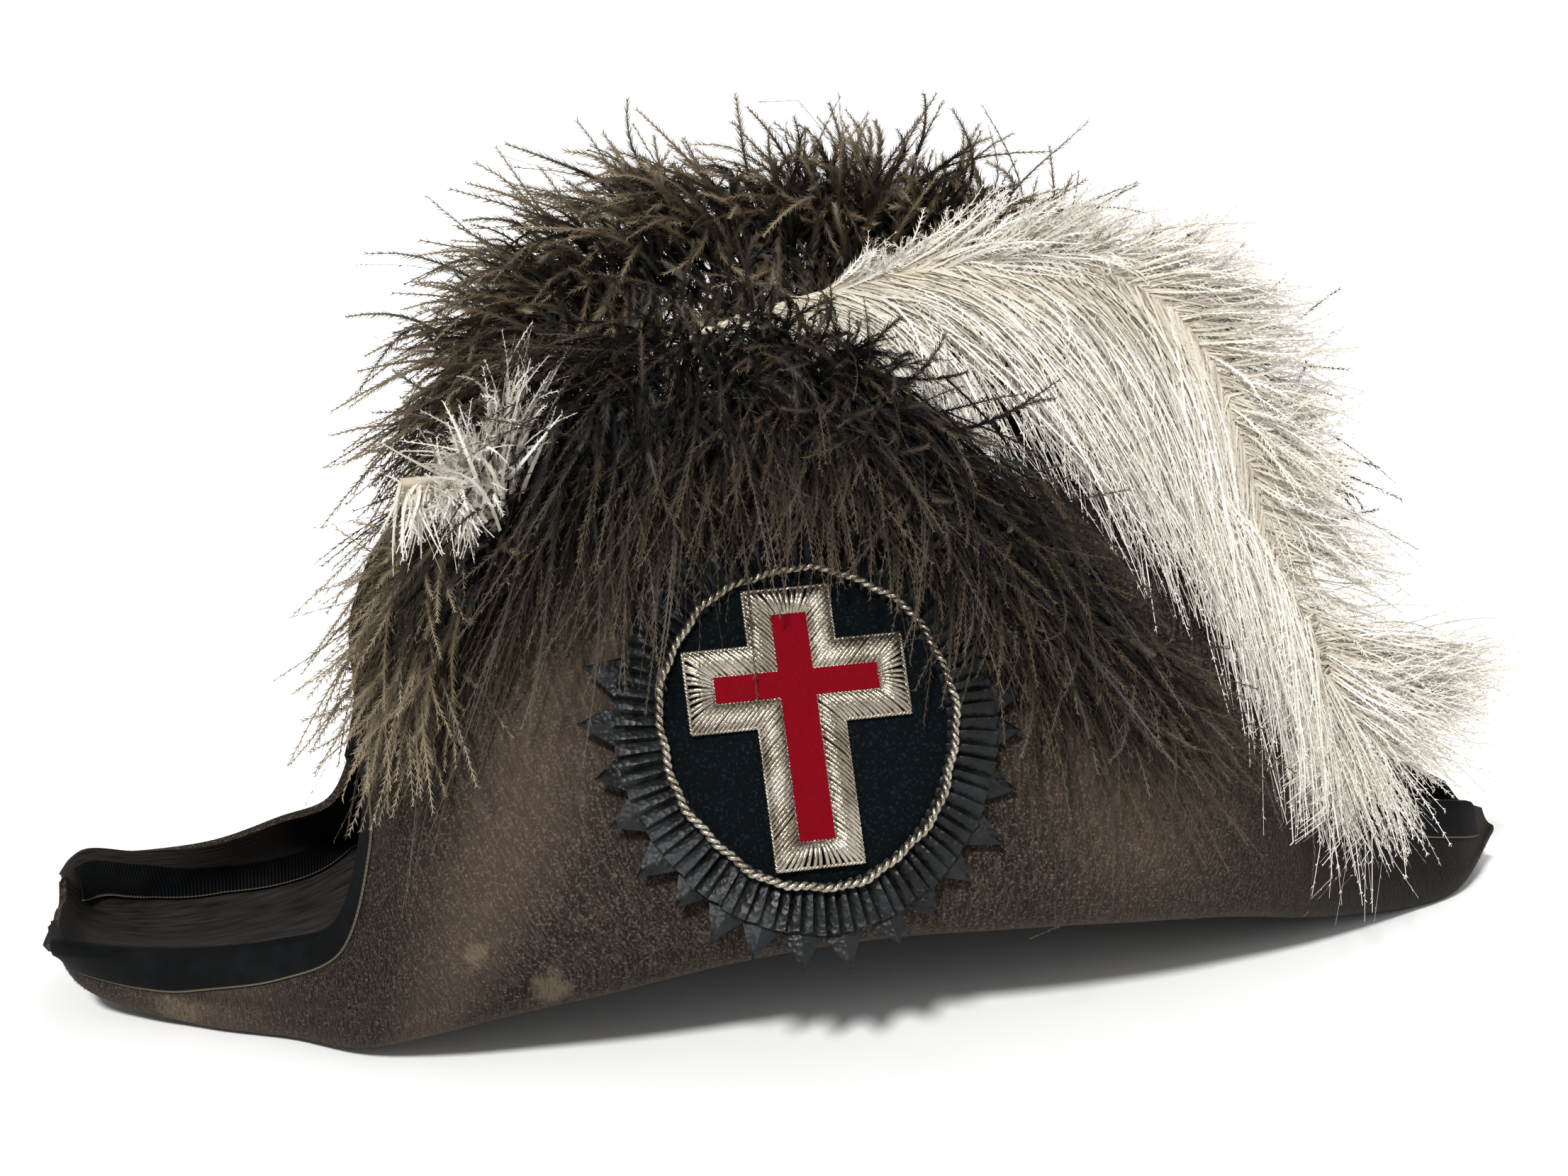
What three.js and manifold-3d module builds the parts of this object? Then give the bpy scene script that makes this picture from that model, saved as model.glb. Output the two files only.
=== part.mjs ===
// A plumed chapeau: a folded felt hat with ribbon-bound leaves, a pleated rosette with a cross badge,
// and ostrich plumes. Millimetres, +Z up. +X points to the back of the hat and -Y to the badge side.
import * as THREE from "three";
import { LoftGeometry } from "three/addons/geometries/LoftGeometry.js";
import { mergeVertices } from "three/addons/utils/BufferGeometryUtils.js";
import Module from "manifold-3d";

const wasm = await Module();
wasm.setup();

const GAP = 0.4;

// Felt: one folded sheet for the brim and its leaves, and a domed crown in two halves over the head opening.
const FELT = 2.4;
const FLOOR_SINK = 0.6;
const HEAD_LENGTH = 196;
const HEAD_WIDTH = 158;
const OPENING_DEPTH = 100;
const CROWN_TOP = 118;
const CROWN_ROUNDNESS = 2.3;
const CROWN_RINGS = 5;
const CROWN_SIDES = 28;
const FLOOR_RISE = 8;
const WIDE_FLOOR = 80;
const RISE_SHARE = 0.78;
const FOLD_RADIUS = 12;
const FOLD_RADIUS_SHARE = 0.28;
const LEAF_BULGE = 0.15;
const SECTION_STEPS = { floor: 2, fold: 3, leaf: 3 };
const STEPS_BETWEEN_SECTIONS = 2;
const FLOOR_SEARCH_STEPS = 300;

// Ribbon: a binding over each leaf's edge, and a band inside each wall of the front peak.
const RIBBON = 0.7;
const BINDING_OUTSIDE = 9.5;
const BINDING_INSIDE = 3;
const BINDING_START = { near: 1, far: 11 };
const BAND_WIDTH = 10;

// Rosette and badge, in a frame whose X runs along the hat, Y up the leaf and Z out of it.
const BADGE_PLACE = new THREE.Vector3(-14, -80.6, 83);
const BADGE_LEAN = 27;
const BADGE_TILT = 1.5;
const VELVET_HALF_WIDTH = 36.2;
const VELVET_HALF_HEIGHT = 39.4;
const EGG_TAPER = 0.06;
const VELVET_HEIGHT = 6.4;
const VELVET_ROUNDING = 3;
const VELVET_BEVEL_STEPS = 2;
const CORD_RADIUS = 1.4;
const CORD_STEPS = 28;
const CORD_ARC_STEPS = 3;
const LEATHER = 0.9;
const POINTS = 28;
const POINT_INSIDE = 3;
const POINT_REACH = 20.5;
const POINT_VALLEY = 13.5;
const POINT_LEVEL = 1.3;
const POINT_RIDGE = 1.2;
const PLEATS = 38;
const PLEAT_INSIDE = 0.6;
const PLEAT_WIDTH = 12.5;
const PLEAT_LEVEL = 3.9;
const PLEAT_RIDGE = 1.1;
const ROSETTE_DEPTH = 9.6;
const ROSETTE_MARGIN = 2;
const CROSS = { width: 56, height: 71, bar: 22, arm: 20.5 };
const INLAY = { width: 42, height: 58, bar: 9, arm: 6.8 };
const CROSS_SHIFT = -2;
const CROSS_THICKNESS = 2;
const ARM_DROP = 24.5;

// Plumes: each vane is a sheet of locks fused side by side to a quill.
const QUILL_RADIUS = 4;
const QUILL_STEPS = 10;
const QUILL_SIDES = 5;
const LOCKS = 7;
const LOCK_STEPS = 3;
const LOCK_THICKNESS = 9;
const LOCK_TIP_THICKNESS = 3;
const VALLEY_LENGTH = 0.78;
const VALLEY_THICKNESS = 0.4;

const COLOURS = {
  felt: 0x3a2c22,
  ribbon: 0x1b2226,
  leather: 0x2c3236,
  velvet: 0x03090d,
  silver: 0xb8a990,
  red: 0xa0001a,
  blackBarb: 0x2a231b,
  whiteBarb: 0xe8e4da,
};

// Turns rows of numbers into records with the named columns.
function table(columns, rows) {
  const names = columns.split(" ");
  return rows.map((row) => Object.fromEntries(row.map((value, i) => [names[i], value])));
}

// The brim's cross-sections from the front tip to the back. The fold is where the sheet turns up, the edge
// is the top of the leaf, and farLift is how much higher the far leaf's edge stands than the near one's.
const SECTIONS = table("foldX foldY foldZ edgeX edgeY edgeZ farLift", [
  [-210, 17, 20, -211, 27, 22, 1],
  [-203, 27, 9, -206, 33, 24, 4],
  [-188, 36, 3, -190, 38, 23, 2],
  [-168, 47, 0, -169, 43, 23, 1],
  [-148, 58, 0, -150, 50, 26, 1],
  [-130, 74, 2, -134, 54, 31, 0],
  [-112, 84, 8, -124, 50, 60, 0],
  [-92, 90, 14, -123, 45, 90, 0],
  [-68, 94, 19, -107, 42, 120, 0],
  [-36, 96, 25, -64, 41, 142, 0],
  [0, 96, 28, 0, 40, 150, 0],
  [40, 95, 27, 62, 40, 143, 0],
  [76, 88, 23, 104, 40, 122, 0],
  [104, 78, 18, 122, 40, 92, 0],
  [128, 66, 11, 130, 40, 62, 0],
  [150, 53, 5, 147, 37, 42, 0],
  [170, 40, 0, 168, 31, 32, 0],
  [190, 27, 0, 189, 23, 27, 0],
  [208, 8, 11, 202, 12, 22, 0],
]);

// How far below the edge each band of ribbon starts, at the first sections.
const BAND_DROPS = [4, 4, 4, 8, 15, 23, 46];

// Each plume has a quill, a list of places from the knot to the tip, and vanes. A vane's row says where its
// lock leaves the quill, as a share of the quill's length, how far it reaches along x, y and z, and how far
// its own weight bends it down.
const quill = (rows) => table("x y z", rows);
const vaneRows = (rows) => table("at x y z sag", rows);
const PLUMES = {
  plume_white: {
    quill: quill([
      [-72, -8, 140],
      [-45, -14, 168],
      [5, -22, 186],
      [45, -26, 192],
      [80, -29, 189],
      [104, -31, 172],
      [117, -33, 143],
      [127, -35, 110],
      [142, -36, 68],
    ]),
    vanes: [
      vaneRows([
        [0.0, -42, -16, 16, 6],
        [0.1, -34, -14, 26, 6],
        [0.3, 22, -4, 12, 2],
        [0.45, 30, -2, 16, 4],
        [0.57, 38, -2, 14, 6],
        [0.68, 36, 0, 4, 8],
        [0.8, 30, 2, -6, 10],
        [0.9, 34, 2, -8, 8],
        [1.0, 48, 4, 6, 8],
      ]),
      vaneRows([
        [0.0, -36, -20, -8, 16],
        [0.12, 30, -26, -4, 30],
        [0.26, 48, -26, -8, 34],
        [0.38, 52, -26, -16, 52],
        [0.5, 44, -24, -34, 66],
        [0.62, 28, -22, -66, 56],
        [0.74, 8, -20, -74, 34],
        [0.87, 6, -18, -62, 18],
        [1.0, 34, -12, -28, 12],
      ]),
    ],
  },
  plume_black_crest: {
    quill: quill([
      [-80, 6, 140],
      [-74, 8, 166],
      [-46, 10, 187],
      [0, 12, 197],
      [40, 12, 194],
      [72, 12, 182],
    ]),
    vanes: [
      vaneRows([
        [0.0, -50, -16, -18, 12],
        [0.18, -46, -14, 22, 10],
        [0.36, -38, -16, 36, 6],
        [0.52, -22, -16, 38, 4],
        [0.68, -2, -16, 36, 4],
        [0.84, 16, -14, 30, 4],
        [1.0, 28, -10, 18, 8],
      ]),
      vaneRows([
        [0.0, -48, 16, -16, 12],
        [0.18, -44, 18, 18, 12],
        [0.36, -34, 22, 28, 12],
        [0.52, -18, 24, 30, 12],
        [0.68, 0, 24, 28, 12],
        [0.84, 16, 22, 24, 12],
        [1.0, 28, 14, 14, 10],
      ]),
    ],
  },
  plume_black_near: {
    quill: quill([
      [-80, -28, 142],
      [-60, -38, 160],
      [-20, -46, 168],
      [20, -50, 163],
      [50, -56, 144],
      [70, -62, 114],
    ]),
    vanes: [
      vaneRows([
        [0.0, -46, -36, -36, 34],
        [0.1, -36, -36, -34, 42],
        [0.22, -18, -34, -26, 42],
        [0.4, 2, -32, -12, 34],
        [0.55, 8, -30, -14, 34],
        [0.7, 16, -24, -26, 36],
        [0.85, 16, -18, -40, 30],
        [1.0, 12, -12, -42, 20],
      ]),
      vaneRows([
        [0.0, -48, -18, 2, 18],
        [0.2, -30, -20, 34, 14],
        [0.4, -6, -16, 40, 12],
        [0.6, 14, -16, 34, 14],
        [0.8, 26, -14, 10, 20],
        [1.0, 22, -10, -28, 20],
      ]),
    ],
  },
  plume_black_far: {
    quill: quill([
      [-76, 26, 142],
      [-55, 38, 162],
      [-10, 46, 172],
      [40, 44, 177],
      [90, 38, 170],
      [128, 32, 146],
      [148, 30, 112],
    ]),
    vanes: [
      vaneRows([
        [0.0, -42, 34, -36, 34],
        [0.15, -24, 36, -30, 42],
        [0.35, 2, 34, -24, 44],
        [0.55, 12, 32, -32, 44],
        [0.75, 18, 26, -40, 38],
        [1.0, 14, 14, -46, 24],
      ]),
      vaneRows([
        [0.0, -46, 16, 4, 18],
        [0.25, -16, 26, 20, 22],
        [0.5, 16, 20, 22, 14],
        [0.75, 34, 10, 20, 12],
        [0.9, 34, 6, 8, 14],
        [1.0, 30, 6, -14, 14],
      ]),
    ],
  },
};

const radians = THREE.MathUtils.degToRad;
const lerp = THREE.MathUtils.lerp;
const SIDES = { near: -1, far: 1 };

// Joined and cut pieces pass through these three.
function solidOf(geometry) {
  const bare = new THREE.BufferGeometry();
  bare.setAttribute("position", geometry.getAttribute("position"));
  bare.setIndex(geometry.index);
  const merged = mergeVertices(bare, 1e-4);
  return new wasm.Manifold(
    new wasm.Mesh({
      numProp: 3,
      vertProperties: merged.attributes.position.array,
      triVerts: new Uint32Array(merged.index.array),
    }),
  );
}

function geometryOf(solid) {
  const mesh = solid.getMesh();
  const geometry = new THREE.BufferGeometry();
  geometry.setAttribute("position", new THREE.BufferAttribute(mesh.vertProperties, mesh.numProp));
  geometry.setIndex(new THREE.BufferAttribute(mesh.triVerts, 1));
  geometry.computeVertexNormals();
  return geometry;
}

function largestBody(solid) {
  return solid.decompose().reduce((best, body) => (body.volume() > best.volume() ? body : best));
}

// A closed solid between two grids of points, an outer and an inner skin. The far side is a mirror image of
// the near side, so its faces are wound the other way.
function betweenSkins(outer, inner, side = "near") {
  const rows = outer.length;
  const columns = outer[0].length;
  const points = [...outer.flat(), ...inner.flat()];
  const at = (skin, r, c) => (skin * rows + r) * columns + c;
  const index = [];
  const quad = (a, b, c, d) => index.push(...(side === "near" ? [a, b, c, a, c, d] : [a, c, b, a, d, c]));
  for (let r = 0; r < rows - 1; r++) {
    for (let c = 0; c < columns - 1; c++) {
      quad(at(0, r, c), at(0, r, c + 1), at(0, r + 1, c + 1), at(0, r + 1, c));
      quad(at(1, r, c), at(1, r + 1, c), at(1, r + 1, c + 1), at(1, r, c + 1));
    }
    quad(at(0, r, 0), at(0, r + 1, 0), at(1, r + 1, 0), at(1, r, 0));
    quad(at(1, r, columns - 1), at(1, r + 1, columns - 1), at(0, r + 1, columns - 1), at(0, r, columns - 1));
  }
  for (let c = 0; c < columns - 1; c++) {
    quad(at(1, 0, c), at(1, 0, c + 1), at(0, 0, c + 1), at(0, 0, c));
    quad(at(0, rows - 1, c), at(0, rows - 1, c + 1), at(1, rows - 1, c + 1), at(1, rows - 1, c));
  }
  const geometry = new THREE.BufferGeometry().setFromPoints(points).setIndex(index);
  geometry.computeVertexNormals();
  return geometry;
}

function quadratic(start, control, end, t) {
  return (1 - t) * (1 - t) * start + 2 * t * (1 - t) * control + t * t * end;
}

// Brim
const curveThrough = (points) => new THREE.CatmullRomCurve3(points, false, "centripetal");
const foldCurve = curveThrough(SECTIONS.map((s) => new THREE.Vector3(s.foldX, s.foldY, s.foldZ)));
const edgeCurves = {
  near: curveThrough(SECTIONS.map((s) => new THREE.Vector3(s.edgeX, s.edgeY, s.edgeZ))),
  far: curveThrough(SECTIONS.map((s) => new THREE.Vector3(s.edgeX, s.edgeY, s.edgeZ + s.farLift))),
};

function foldOf(share) {
  const { x, y, z } = foldCurve.getPoint(share);
  const radius = Math.min(FOLD_RADIUS, FOLD_RADIUS_SHARE * y);
  const rise = FLOOR_RISE * Math.min(1, y / WIDE_FLOOR);
  return { x, y, radius, rise, flat: y - radius, bottom: z + FELT / 2 - FLOOR_SINK };
}

// The floor arches in the middle and lies flat next to the fold.
function floorAt(fold, y) {
  return fold.bottom + fold.rise * Math.max(0, 1 - (y / (fold.flat * RISE_SHARE)) ** 2);
}

// The middle of the felt in half a section, from the middle line out to the fold and up to the leaf's edge.
function halfSection(share, side) {
  const fold = foldOf(share);
  const edge = edgeCurves[side].getPoint(share);
  const top = fold.bottom + fold.radius;
  const points = [];
  for (let i = 0; i <= SECTION_STEPS.floor; i++) {
    const y = fold.flat * RISE_SHARE * (i / SECTION_STEPS.floor);
    points.push([fold.x, y, floorAt(fold, y)]);
  }
  for (let i = 0; i < SECTION_STEPS.fold; i++) {
    const turn = (Math.PI / 2) * (i / SECTION_STEPS.fold);
    const rise = fold.radius * (1 - Math.cos(turn));
    points.push([fold.x, fold.flat + fold.radius * Math.sin(turn), fold.bottom + rise]);
  }
  for (let i = 0; i <= SECTION_STEPS.leaf; i++) {
    const up = i / SECTION_STEPS.leaf;
    const control = top + LEAF_BULGE * (edge.z - top);
    const y = quadratic(fold.y, fold.y, edge.y, up);
    points.push([lerp(fold.x, edge.x, up), y, quadratic(top, control, edge.z, up)]);
  }
  return points.map(([x, y, z]) => new THREE.Vector3(x, SIDES[side] * y, z));
}

// Adds the surface's normal to each place in a grid.
function withNormals(grid) {
  const difference = (a, b) => new THREE.Vector3().subVectors(a, b);
  const lastRow = grid.length - 1;
  return grid.map((row, r) =>
    row.map((place, c) => {
      const along = difference(grid[Math.min(r + 1, lastRow)][c], grid[Math.max(r - 1, 0)][c]);
      const across = difference(row[Math.min(c + 1, row.length - 1)], row[Math.max(c - 1, 0)]);
      return { place, normal: across.cross(along).normalize() };
    }),
  );
}

// Rows of places across the sheet, from the near edge to the far edge.
const ROWS = (SECTIONS.length - 1) * STEPS_BETWEEN_SECTIONS;
const HALF = SECTION_STEPS.floor + 1 + SECTION_STEPS.fold + SECTION_STEPS.leaf;
function sheetPlaces() {
  const rows = [];
  for (let r = 0; r <= ROWS; r++) {
    const near = halfSection(r / ROWS, "near");
    const far = halfSection(r / ROWS, "far");
    rows.push([...near.reverse(), ...far.slice(1)]);
  }
  return rows;
}
const sheet = withNormals(sheetPlaces());

const offset = ({ place, normal }, distance) => place.clone().addScaledVector(normal, distance);

// The sheet as a solid of the given thickness, flat where it rests on the ground.
function sheetSolid(thickness) {
  const outer = sheet.map((row) => row.map((spot) => offset(spot, thickness / 2)));
  const inner = sheet.map((row) => row.map((spot) => offset(spot, -thickness / 2)));
  outer.flat().forEach((point) => (point.z = Math.max(point.z, 0)));
  return solidOf(betweenSkins(outer, inner));
}

// A round cutter through the head opening, the size of the crown's inside.
function headOpening() {
  const cutter = new THREE.CylinderGeometry(1, 1, OPENING_DEPTH, CROWN_SIDES);
  cutter.rotateX(Math.PI / 2);
  cutter.scale(HEAD_LENGTH / 2 - FELT, HEAD_WIDTH / 2 - FELT, 1);
  return solidOf(cutter);
}

// Crown
function floorHeight(x, y) {
  let share = 0;
  while (share < 1 && foldCurve.getPoint(share).x < x) share += 1 / FLOOR_SEARCH_STEPS;
  return floorAt(foldOf(Math.min(share, 1)), y);
}

function crownGeometry() {
  const profile = [];
  const wall = (radius, top, turn) =>
    new THREE.Vector2(
      radius * Math.sin(turn) ** (2 / CROWN_ROUNDNESS),
      top * Math.cos(turn) ** (2 / CROWN_ROUNDNESS),
    );
  for (let i = 0; i <= CROWN_RINGS; i++) {
    profile.push(wall(HEAD_LENGTH / 2 - FELT, CROWN_TOP - FELT, (Math.PI / 2) * (i / CROWN_RINGS)));
  }
  for (let i = CROWN_RINGS; i >= 0; i--) {
    profile.push(wall(HEAD_LENGTH / 2, CROWN_TOP, (Math.PI / 2) * (i / CROWN_RINGS)));
  }
  profile[0].x = 0;
  profile[profile.length - 1].x = 0;
  const geometry = new THREE.LatheGeometry(profile, CROWN_SIDES);
  geometry.rotateX(Math.PI / 2);
  geometry.scale(1, HEAD_WIDTH / HEAD_LENGTH, 1);
  const position = geometry.getAttribute("position");
  for (let i = 0; i < position.count; i++) {
    const foot = floorHeight(position.getX(i), position.getY(i)) + FELT / 2 + 2 * GAP;
    const z = Math.max(position.getZ(i), 0);
    position.setZ(i, lerp(foot, CROWN_TOP, z / CROWN_TOP));
  }
  return geometry;
}

// One half of the crown. The halves meet along the middle of the hat.
function crownHalf(side) {
  const half = new THREE.BoxGeometry(HEAD_LENGTH + FELT, HEAD_WIDTH, 2 * CROWN_TOP + FELT);
  half.translate(0, (SIDES[side] * (HEAD_WIDTH + GAP)) / 2, 0);
  return geometryOf(solidOf(crownGeometry()).intersect(solidOf(half)));
}

// Ribbons: a place on a leaf at a distance down from its edge, and out from the middle of the felt.
function onLeaf(row, side, down, out) {
  const spots = side === "near" ? sheet[row] : [...sheet[row]].reverse();
  let left = down;
  let i = 0;
  let step = spots[0].place.distanceTo(spots[1].place);
  while (left > step && i < HALF - 2) {
    left -= step;
    i += 1;
    step = spots[i].place.distanceTo(spots[i + 1].place);
  }
  const place = spots[i].place.clone().lerp(spots[i + 1].place, left / step);
  const normal = spots[i].normal.clone().lerp(spots[i + 1].normal, left / step);
  return place.addScaledVector(normal, out);
}

// A ribbon's two skins follow a path across the leaf, given as distances down from the edge and out.
const SKIN = FELT / 2 + GAP;
function ribbonGeometry(side, rows, pathAt, outerDepth = RIBBON, innerDepth = 0) {
  const across = (row, depth) => pathAt(row, depth).map(([down, out]) => onLeaf(row, side, down, out));
  const skin = (depth) => rows.map((row) => across(row, depth));
  return betweenSkins(skin(outerDepth), skin(innerDepth), side);
}

// With a margin, this is the room that the binding and the felt inside it take up.
function bindingGeometry(side, margin = 0) {
  const start = BINDING_START[side];
  const rows = [...Array(ROWS - start).keys()].map((row) => row + start);
  const path = (row, depth) => [
    [BINDING_INSIDE + margin, -SKIN - depth],
    [-GAP - depth, -SKIN - depth],
    [-GAP - depth, SKIN + depth],
    [BINDING_OUTSIDE + margin, SKIN + depth],
  ];
  return ribbonGeometry(side, rows, path, RIBBON + margin, margin > 0 ? -FELT / 2 : 0);
}

function bandGeometry(side) {
  const last = (BAND_DROPS.length - 1) * STEPS_BETWEEN_SECTIONS;
  const rows = [...Array(last).keys()].map((row) => row + 1);
  return ribbonGeometry(side, rows, (row, depth) => {
    const at = row / STEPS_BETWEEN_SECTIONS;
    const drop = lerp(BAND_DROPS[Math.floor(at)], BAND_DROPS[Math.ceil(at)], at % 1);
    return [
      [drop + BAND_WIDTH, -SKIN - depth],
      [drop, -SKIN - depth],
    ];
  });
}

// Rosette and badge
function egg(turn, grow = 0) {
  const narrowing = 1 + EGG_TAPER * Math.sin(turn);
  return new THREE.Vector2(
    (VELVET_HALF_WIDTH * narrowing + grow) * Math.cos(turn),
    (VELVET_HALF_HEIGHT + grow) * Math.sin(turn),
  );
}

// A ring of leather around the egg, whose ridges and valleys run outwards and take turns.
function foldedRing(folds, inside, ridge, valley, thickness) {
  const steps = 2 * folds;
  const rings = [];
  for (let i = 0; i <= steps; i++) {
    const { reach, height } = i % 2 ? ridge : valley;
    const turn = (2 * Math.PI * i) / steps;
    const inner = egg(turn, inside);
    const outer = egg(turn, reach);
    const corner = (at, z) => new THREE.Vector3(at.x, at.y, z);
    rings.push([
      corner(inner, valley.height - thickness),
      corner(inner, height),
      corner(outer, height),
      corner(outer, valley.height - thickness),
    ]);
  }
  return new LoftGeometry(rings);
}

function pointsGeometry() {
  const ridge = { reach: POINT_REACH, height: POINT_LEVEL + POINT_RIDGE };
  return foldedRing(POINTS, POINT_INSIDE, ridge, { reach: POINT_VALLEY, height: POINT_LEVEL }, LEATHER);
}

function pleatsGeometry() {
  const ridge = { reach: PLEAT_WIDTH, height: PLEAT_LEVEL + PLEAT_RIDGE };
  return foldedRing(PLEATS, PLEAT_INSIDE, ridge, { reach: PLEAT_WIDTH, height: PLEAT_LEVEL }, LEATHER);
}

// The room that the rosette and the badge take up, for the plumes to keep out of.
function rosetteRoom() {
  const room = new THREE.CylinderGeometry(1, 1, ROSETTE_DEPTH, POINTS);
  room.rotateX(Math.PI / 2);
  room.translate(0, 0, ROSETTE_DEPTH / 2);
  const reach = POINT_REACH + ROSETTE_MARGIN;
  room.scale(VELVET_HALF_WIDTH + reach, VELVET_HALF_HEIGHT + reach, 1);
  room.applyMatrix4(badge.matrixWorld);
  return solidOf(room);
}

function velvetGeometry() {
  const outline = [];
  for (let i = 0; i < POINTS; i++) outline.push(egg((2 * Math.PI * i) / POINTS, -VELVET_ROUNDING));
  const geometry = new THREE.ExtrudeGeometry(new THREE.Shape(outline), {
    depth: VELVET_HEIGHT - 2 * VELVET_ROUNDING,
    bevelSize: VELVET_ROUNDING,
    bevelThickness: VELVET_ROUNDING,
    bevelSegments: VELVET_BEVEL_STEPS,
  });
  return geometry.translate(0, 0, VELVET_ROUNDING + GAP);
}

function cordGeometry() {
  const points = [];
  for (let i = 0; i < CORD_STEPS; i++) {
    const at = egg((2 * Math.PI * i) / CORD_STEPS, CORD_RADIUS);
    points.push(new THREE.Vector3(at.x, at.y, 0));
  }
  const section = new THREE.Shape().absarc(0, 0, CORD_RADIUS, 0, 2 * Math.PI);
  const geometry = new THREE.ExtrudeGeometry(section, {
    extrudePath: new THREE.CatmullRomCurve3(points, true),
    steps: CORD_STEPS,
    curveSegments: CORD_ARC_STEPS,
  });
  return geometry.translate(0, 0, PLEAT_LEVEL + PLEAT_RIDGE + GAP + CORD_RADIUS);
}

// The outline of a cross with its arms above the middle.
function crossOutline(size, grow) {
  const reach = size.width / 2 + grow;
  const rise = size.height / 2 + grow;
  const half = size.bar / 2 + grow;
  const armTop = CROSS.height / 2 - ARM_DROP + size.arm / 2 + grow;
  const armFoot = armTop - size.arm - 2 * grow;
  return [
    [-half, -rise],
    [half, -rise],
    [half, armFoot],
    [reach, armFoot],
    [reach, armTop],
    [half, armTop],
    [half, rise],
    [-half, rise],
    [-half, armTop],
    [-reach, armTop],
    [-reach, armFoot],
    [-half, armFoot],
  ].map(([x, y]) => new THREE.Vector2(x, y));
}

function crossGeometry() {
  const shape = new THREE.Shape(crossOutline(CROSS, 0));
  shape.holes.push(new THREE.Path(crossOutline(INLAY, GAP)));
  return new THREE.ExtrudeGeometry(shape, { depth: CROSS_THICKNESS, bevelEnabled: false });
}

function inlayGeometry() {
  const shape = new THREE.Shape(crossOutline(INLAY, 0));
  return new THREE.ExtrudeGeometry(shape, { depth: CROSS_THICKNESS - GAP, bevelEnabled: false });
}

// Plumes
const vector = ({ x, y, z }) => new THREE.Vector3(x, y, z);

function quillSolid(curve, grow) {
  const frames = curve.computeFrenetFrames(QUILL_STEPS, false);
  const rings = [];
  for (let i = 0; i <= QUILL_STEPS; i++) {
    const ring = [];
    for (let k = 0; k < QUILL_SIDES; k++) {
      const turn = (2 * Math.PI * k) / QUILL_SIDES;
      const arm = frames.normals[i].clone().multiplyScalar(Math.cos(turn));
      arm.addScaledVector(frames.binormals[i], Math.sin(turn));
      ring.push(curve.getPointAt(i / QUILL_STEPS).addScaledVector(arm, QUILL_RADIUS + grow));
    }
    rings.push(ring);
  }
  return solidOf(new LoftGeometry(rings, { capStart: true, capEnd: true }));
}

// A lock's middle line from the quill to its tip, in equal steps, at a place along the vane's table.
function lockLine(curve, rows, along, length) {
  const before = rows[Math.floor(along)];
  const after = rows[Math.ceil(along)];
  const mix = (name) => lerp(before[name], after[name], along % 1);
  const root = curve.getPointAt(mix("at"));
  const reach = new THREE.Vector3(mix("x"), mix("y"), mix("z"));
  const line = [];
  for (let k = 0; k <= LOCK_STEPS; k++) {
    const t = (length * k) / LOCK_STEPS;
    const place = root.clone().addScaledVector(reach, t);
    place.z -= mix("sag") * t * t;
    line.push(place);
  }
  return line;
}

// A vane's locks stand as ridges, with a shorter and thinner valley between each two.
function vaneSolid(curve, rows, grow) {
  const lines = [];
  for (let i = 0; i <= 2 * LOCKS; i++) {
    const along = ((rows.length - 1) * i) / (2 * LOCKS);
    lines.push(lockLine(curve, rows, along, i % 2 ? VALLEY_LENGTH : 1));
  }
  const vane = withNormals(lines);
  const half = (row, step) => {
    const thickness = lerp(LOCK_THICKNESS, LOCK_TIP_THICKNESS, step / LOCK_STEPS);
    return (thickness * (row % 2 ? VALLEY_THICKNESS : 1)) / 2 + grow;
  };
  const skin = (side) => vane.map((row, r) => row.map((spot, k) => offset(spot, side * half(r, k))));
  return solidOf(betweenSkins(skin(1), skin(-1)));
}

function plumeSolid(plume, grow) {
  const curve = curveThrough(plume.quill.map(vector));
  const vanes = plume.vanes.map((rows) => vaneSolid(curve, rows, grow));
  return wasm.Manifold.union([quillSolid(curve, grow), ...vanes]);
}

// Assembly
const hat = new THREE.Group();
function add(parent, name, geometry, colour, roughness, metalness = 0) {
  const material = new THREE.MeshStandardMaterial({ color: colour, roughness, metalness });
  const mesh = new THREE.Mesh(geometry, material);
  mesh.name = name;
  parent.add(mesh);
  return mesh;
}

const brim = sheetSolid(FELT).subtract(headOpening());
const clearOfBrim = sheetSolid(FELT + GAP);
const trimmed = (geometry) => geometryOf(largestBody(solidOf(geometry).subtract(clearOfBrim)));

add(hat, "brim", geometryOf(brim), COLOURS.felt, 0.95);
for (const side of Object.keys(SIDES)) {
  add(hat, `crown_${side}`, crownHalf(side), COLOURS.felt, 0.95);
  add(hat, `leaf_binding_${side}`, trimmed(bindingGeometry(side)), COLOURS.ribbon, 0.6);
  add(hat, `front_ribbon_${side}`, trimmed(bandGeometry(side)), COLOURS.ribbon, 0.6);
}

// The badge stands on the near leaf, from the rosette's points up to the cross.
const badge = new THREE.Group();
badge.position.copy(BADGE_PLACE);
badge.rotation.x = Math.PI / 2 - radians(BADGE_LEAN);
hat.add(badge);
add(badge, "rosette_points", pointsGeometry(), COLOURS.leather, 0.45);
add(badge, "rosette_pleats", pleatsGeometry(), COLOURS.leather, 0.45);
add(badge, "badge_velvet", velvetGeometry(), COLOURS.velvet, 1);
add(badge, "badge_cord", cordGeometry(), COLOURS.silver, 0.4, 1);
const cross = new THREE.Group();
cross.position.set(CROSS_SHIFT, 0, VELVET_HEIGHT + 2 * GAP);
cross.rotation.z = radians(BADGE_TILT);
badge.add(cross);
add(cross, "badge_cross", crossGeometry(), COLOURS.silver, 0.4, 1);
add(cross, "badge_cross_center", inlayGeometry(), COLOURS.red, 0.8);

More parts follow.
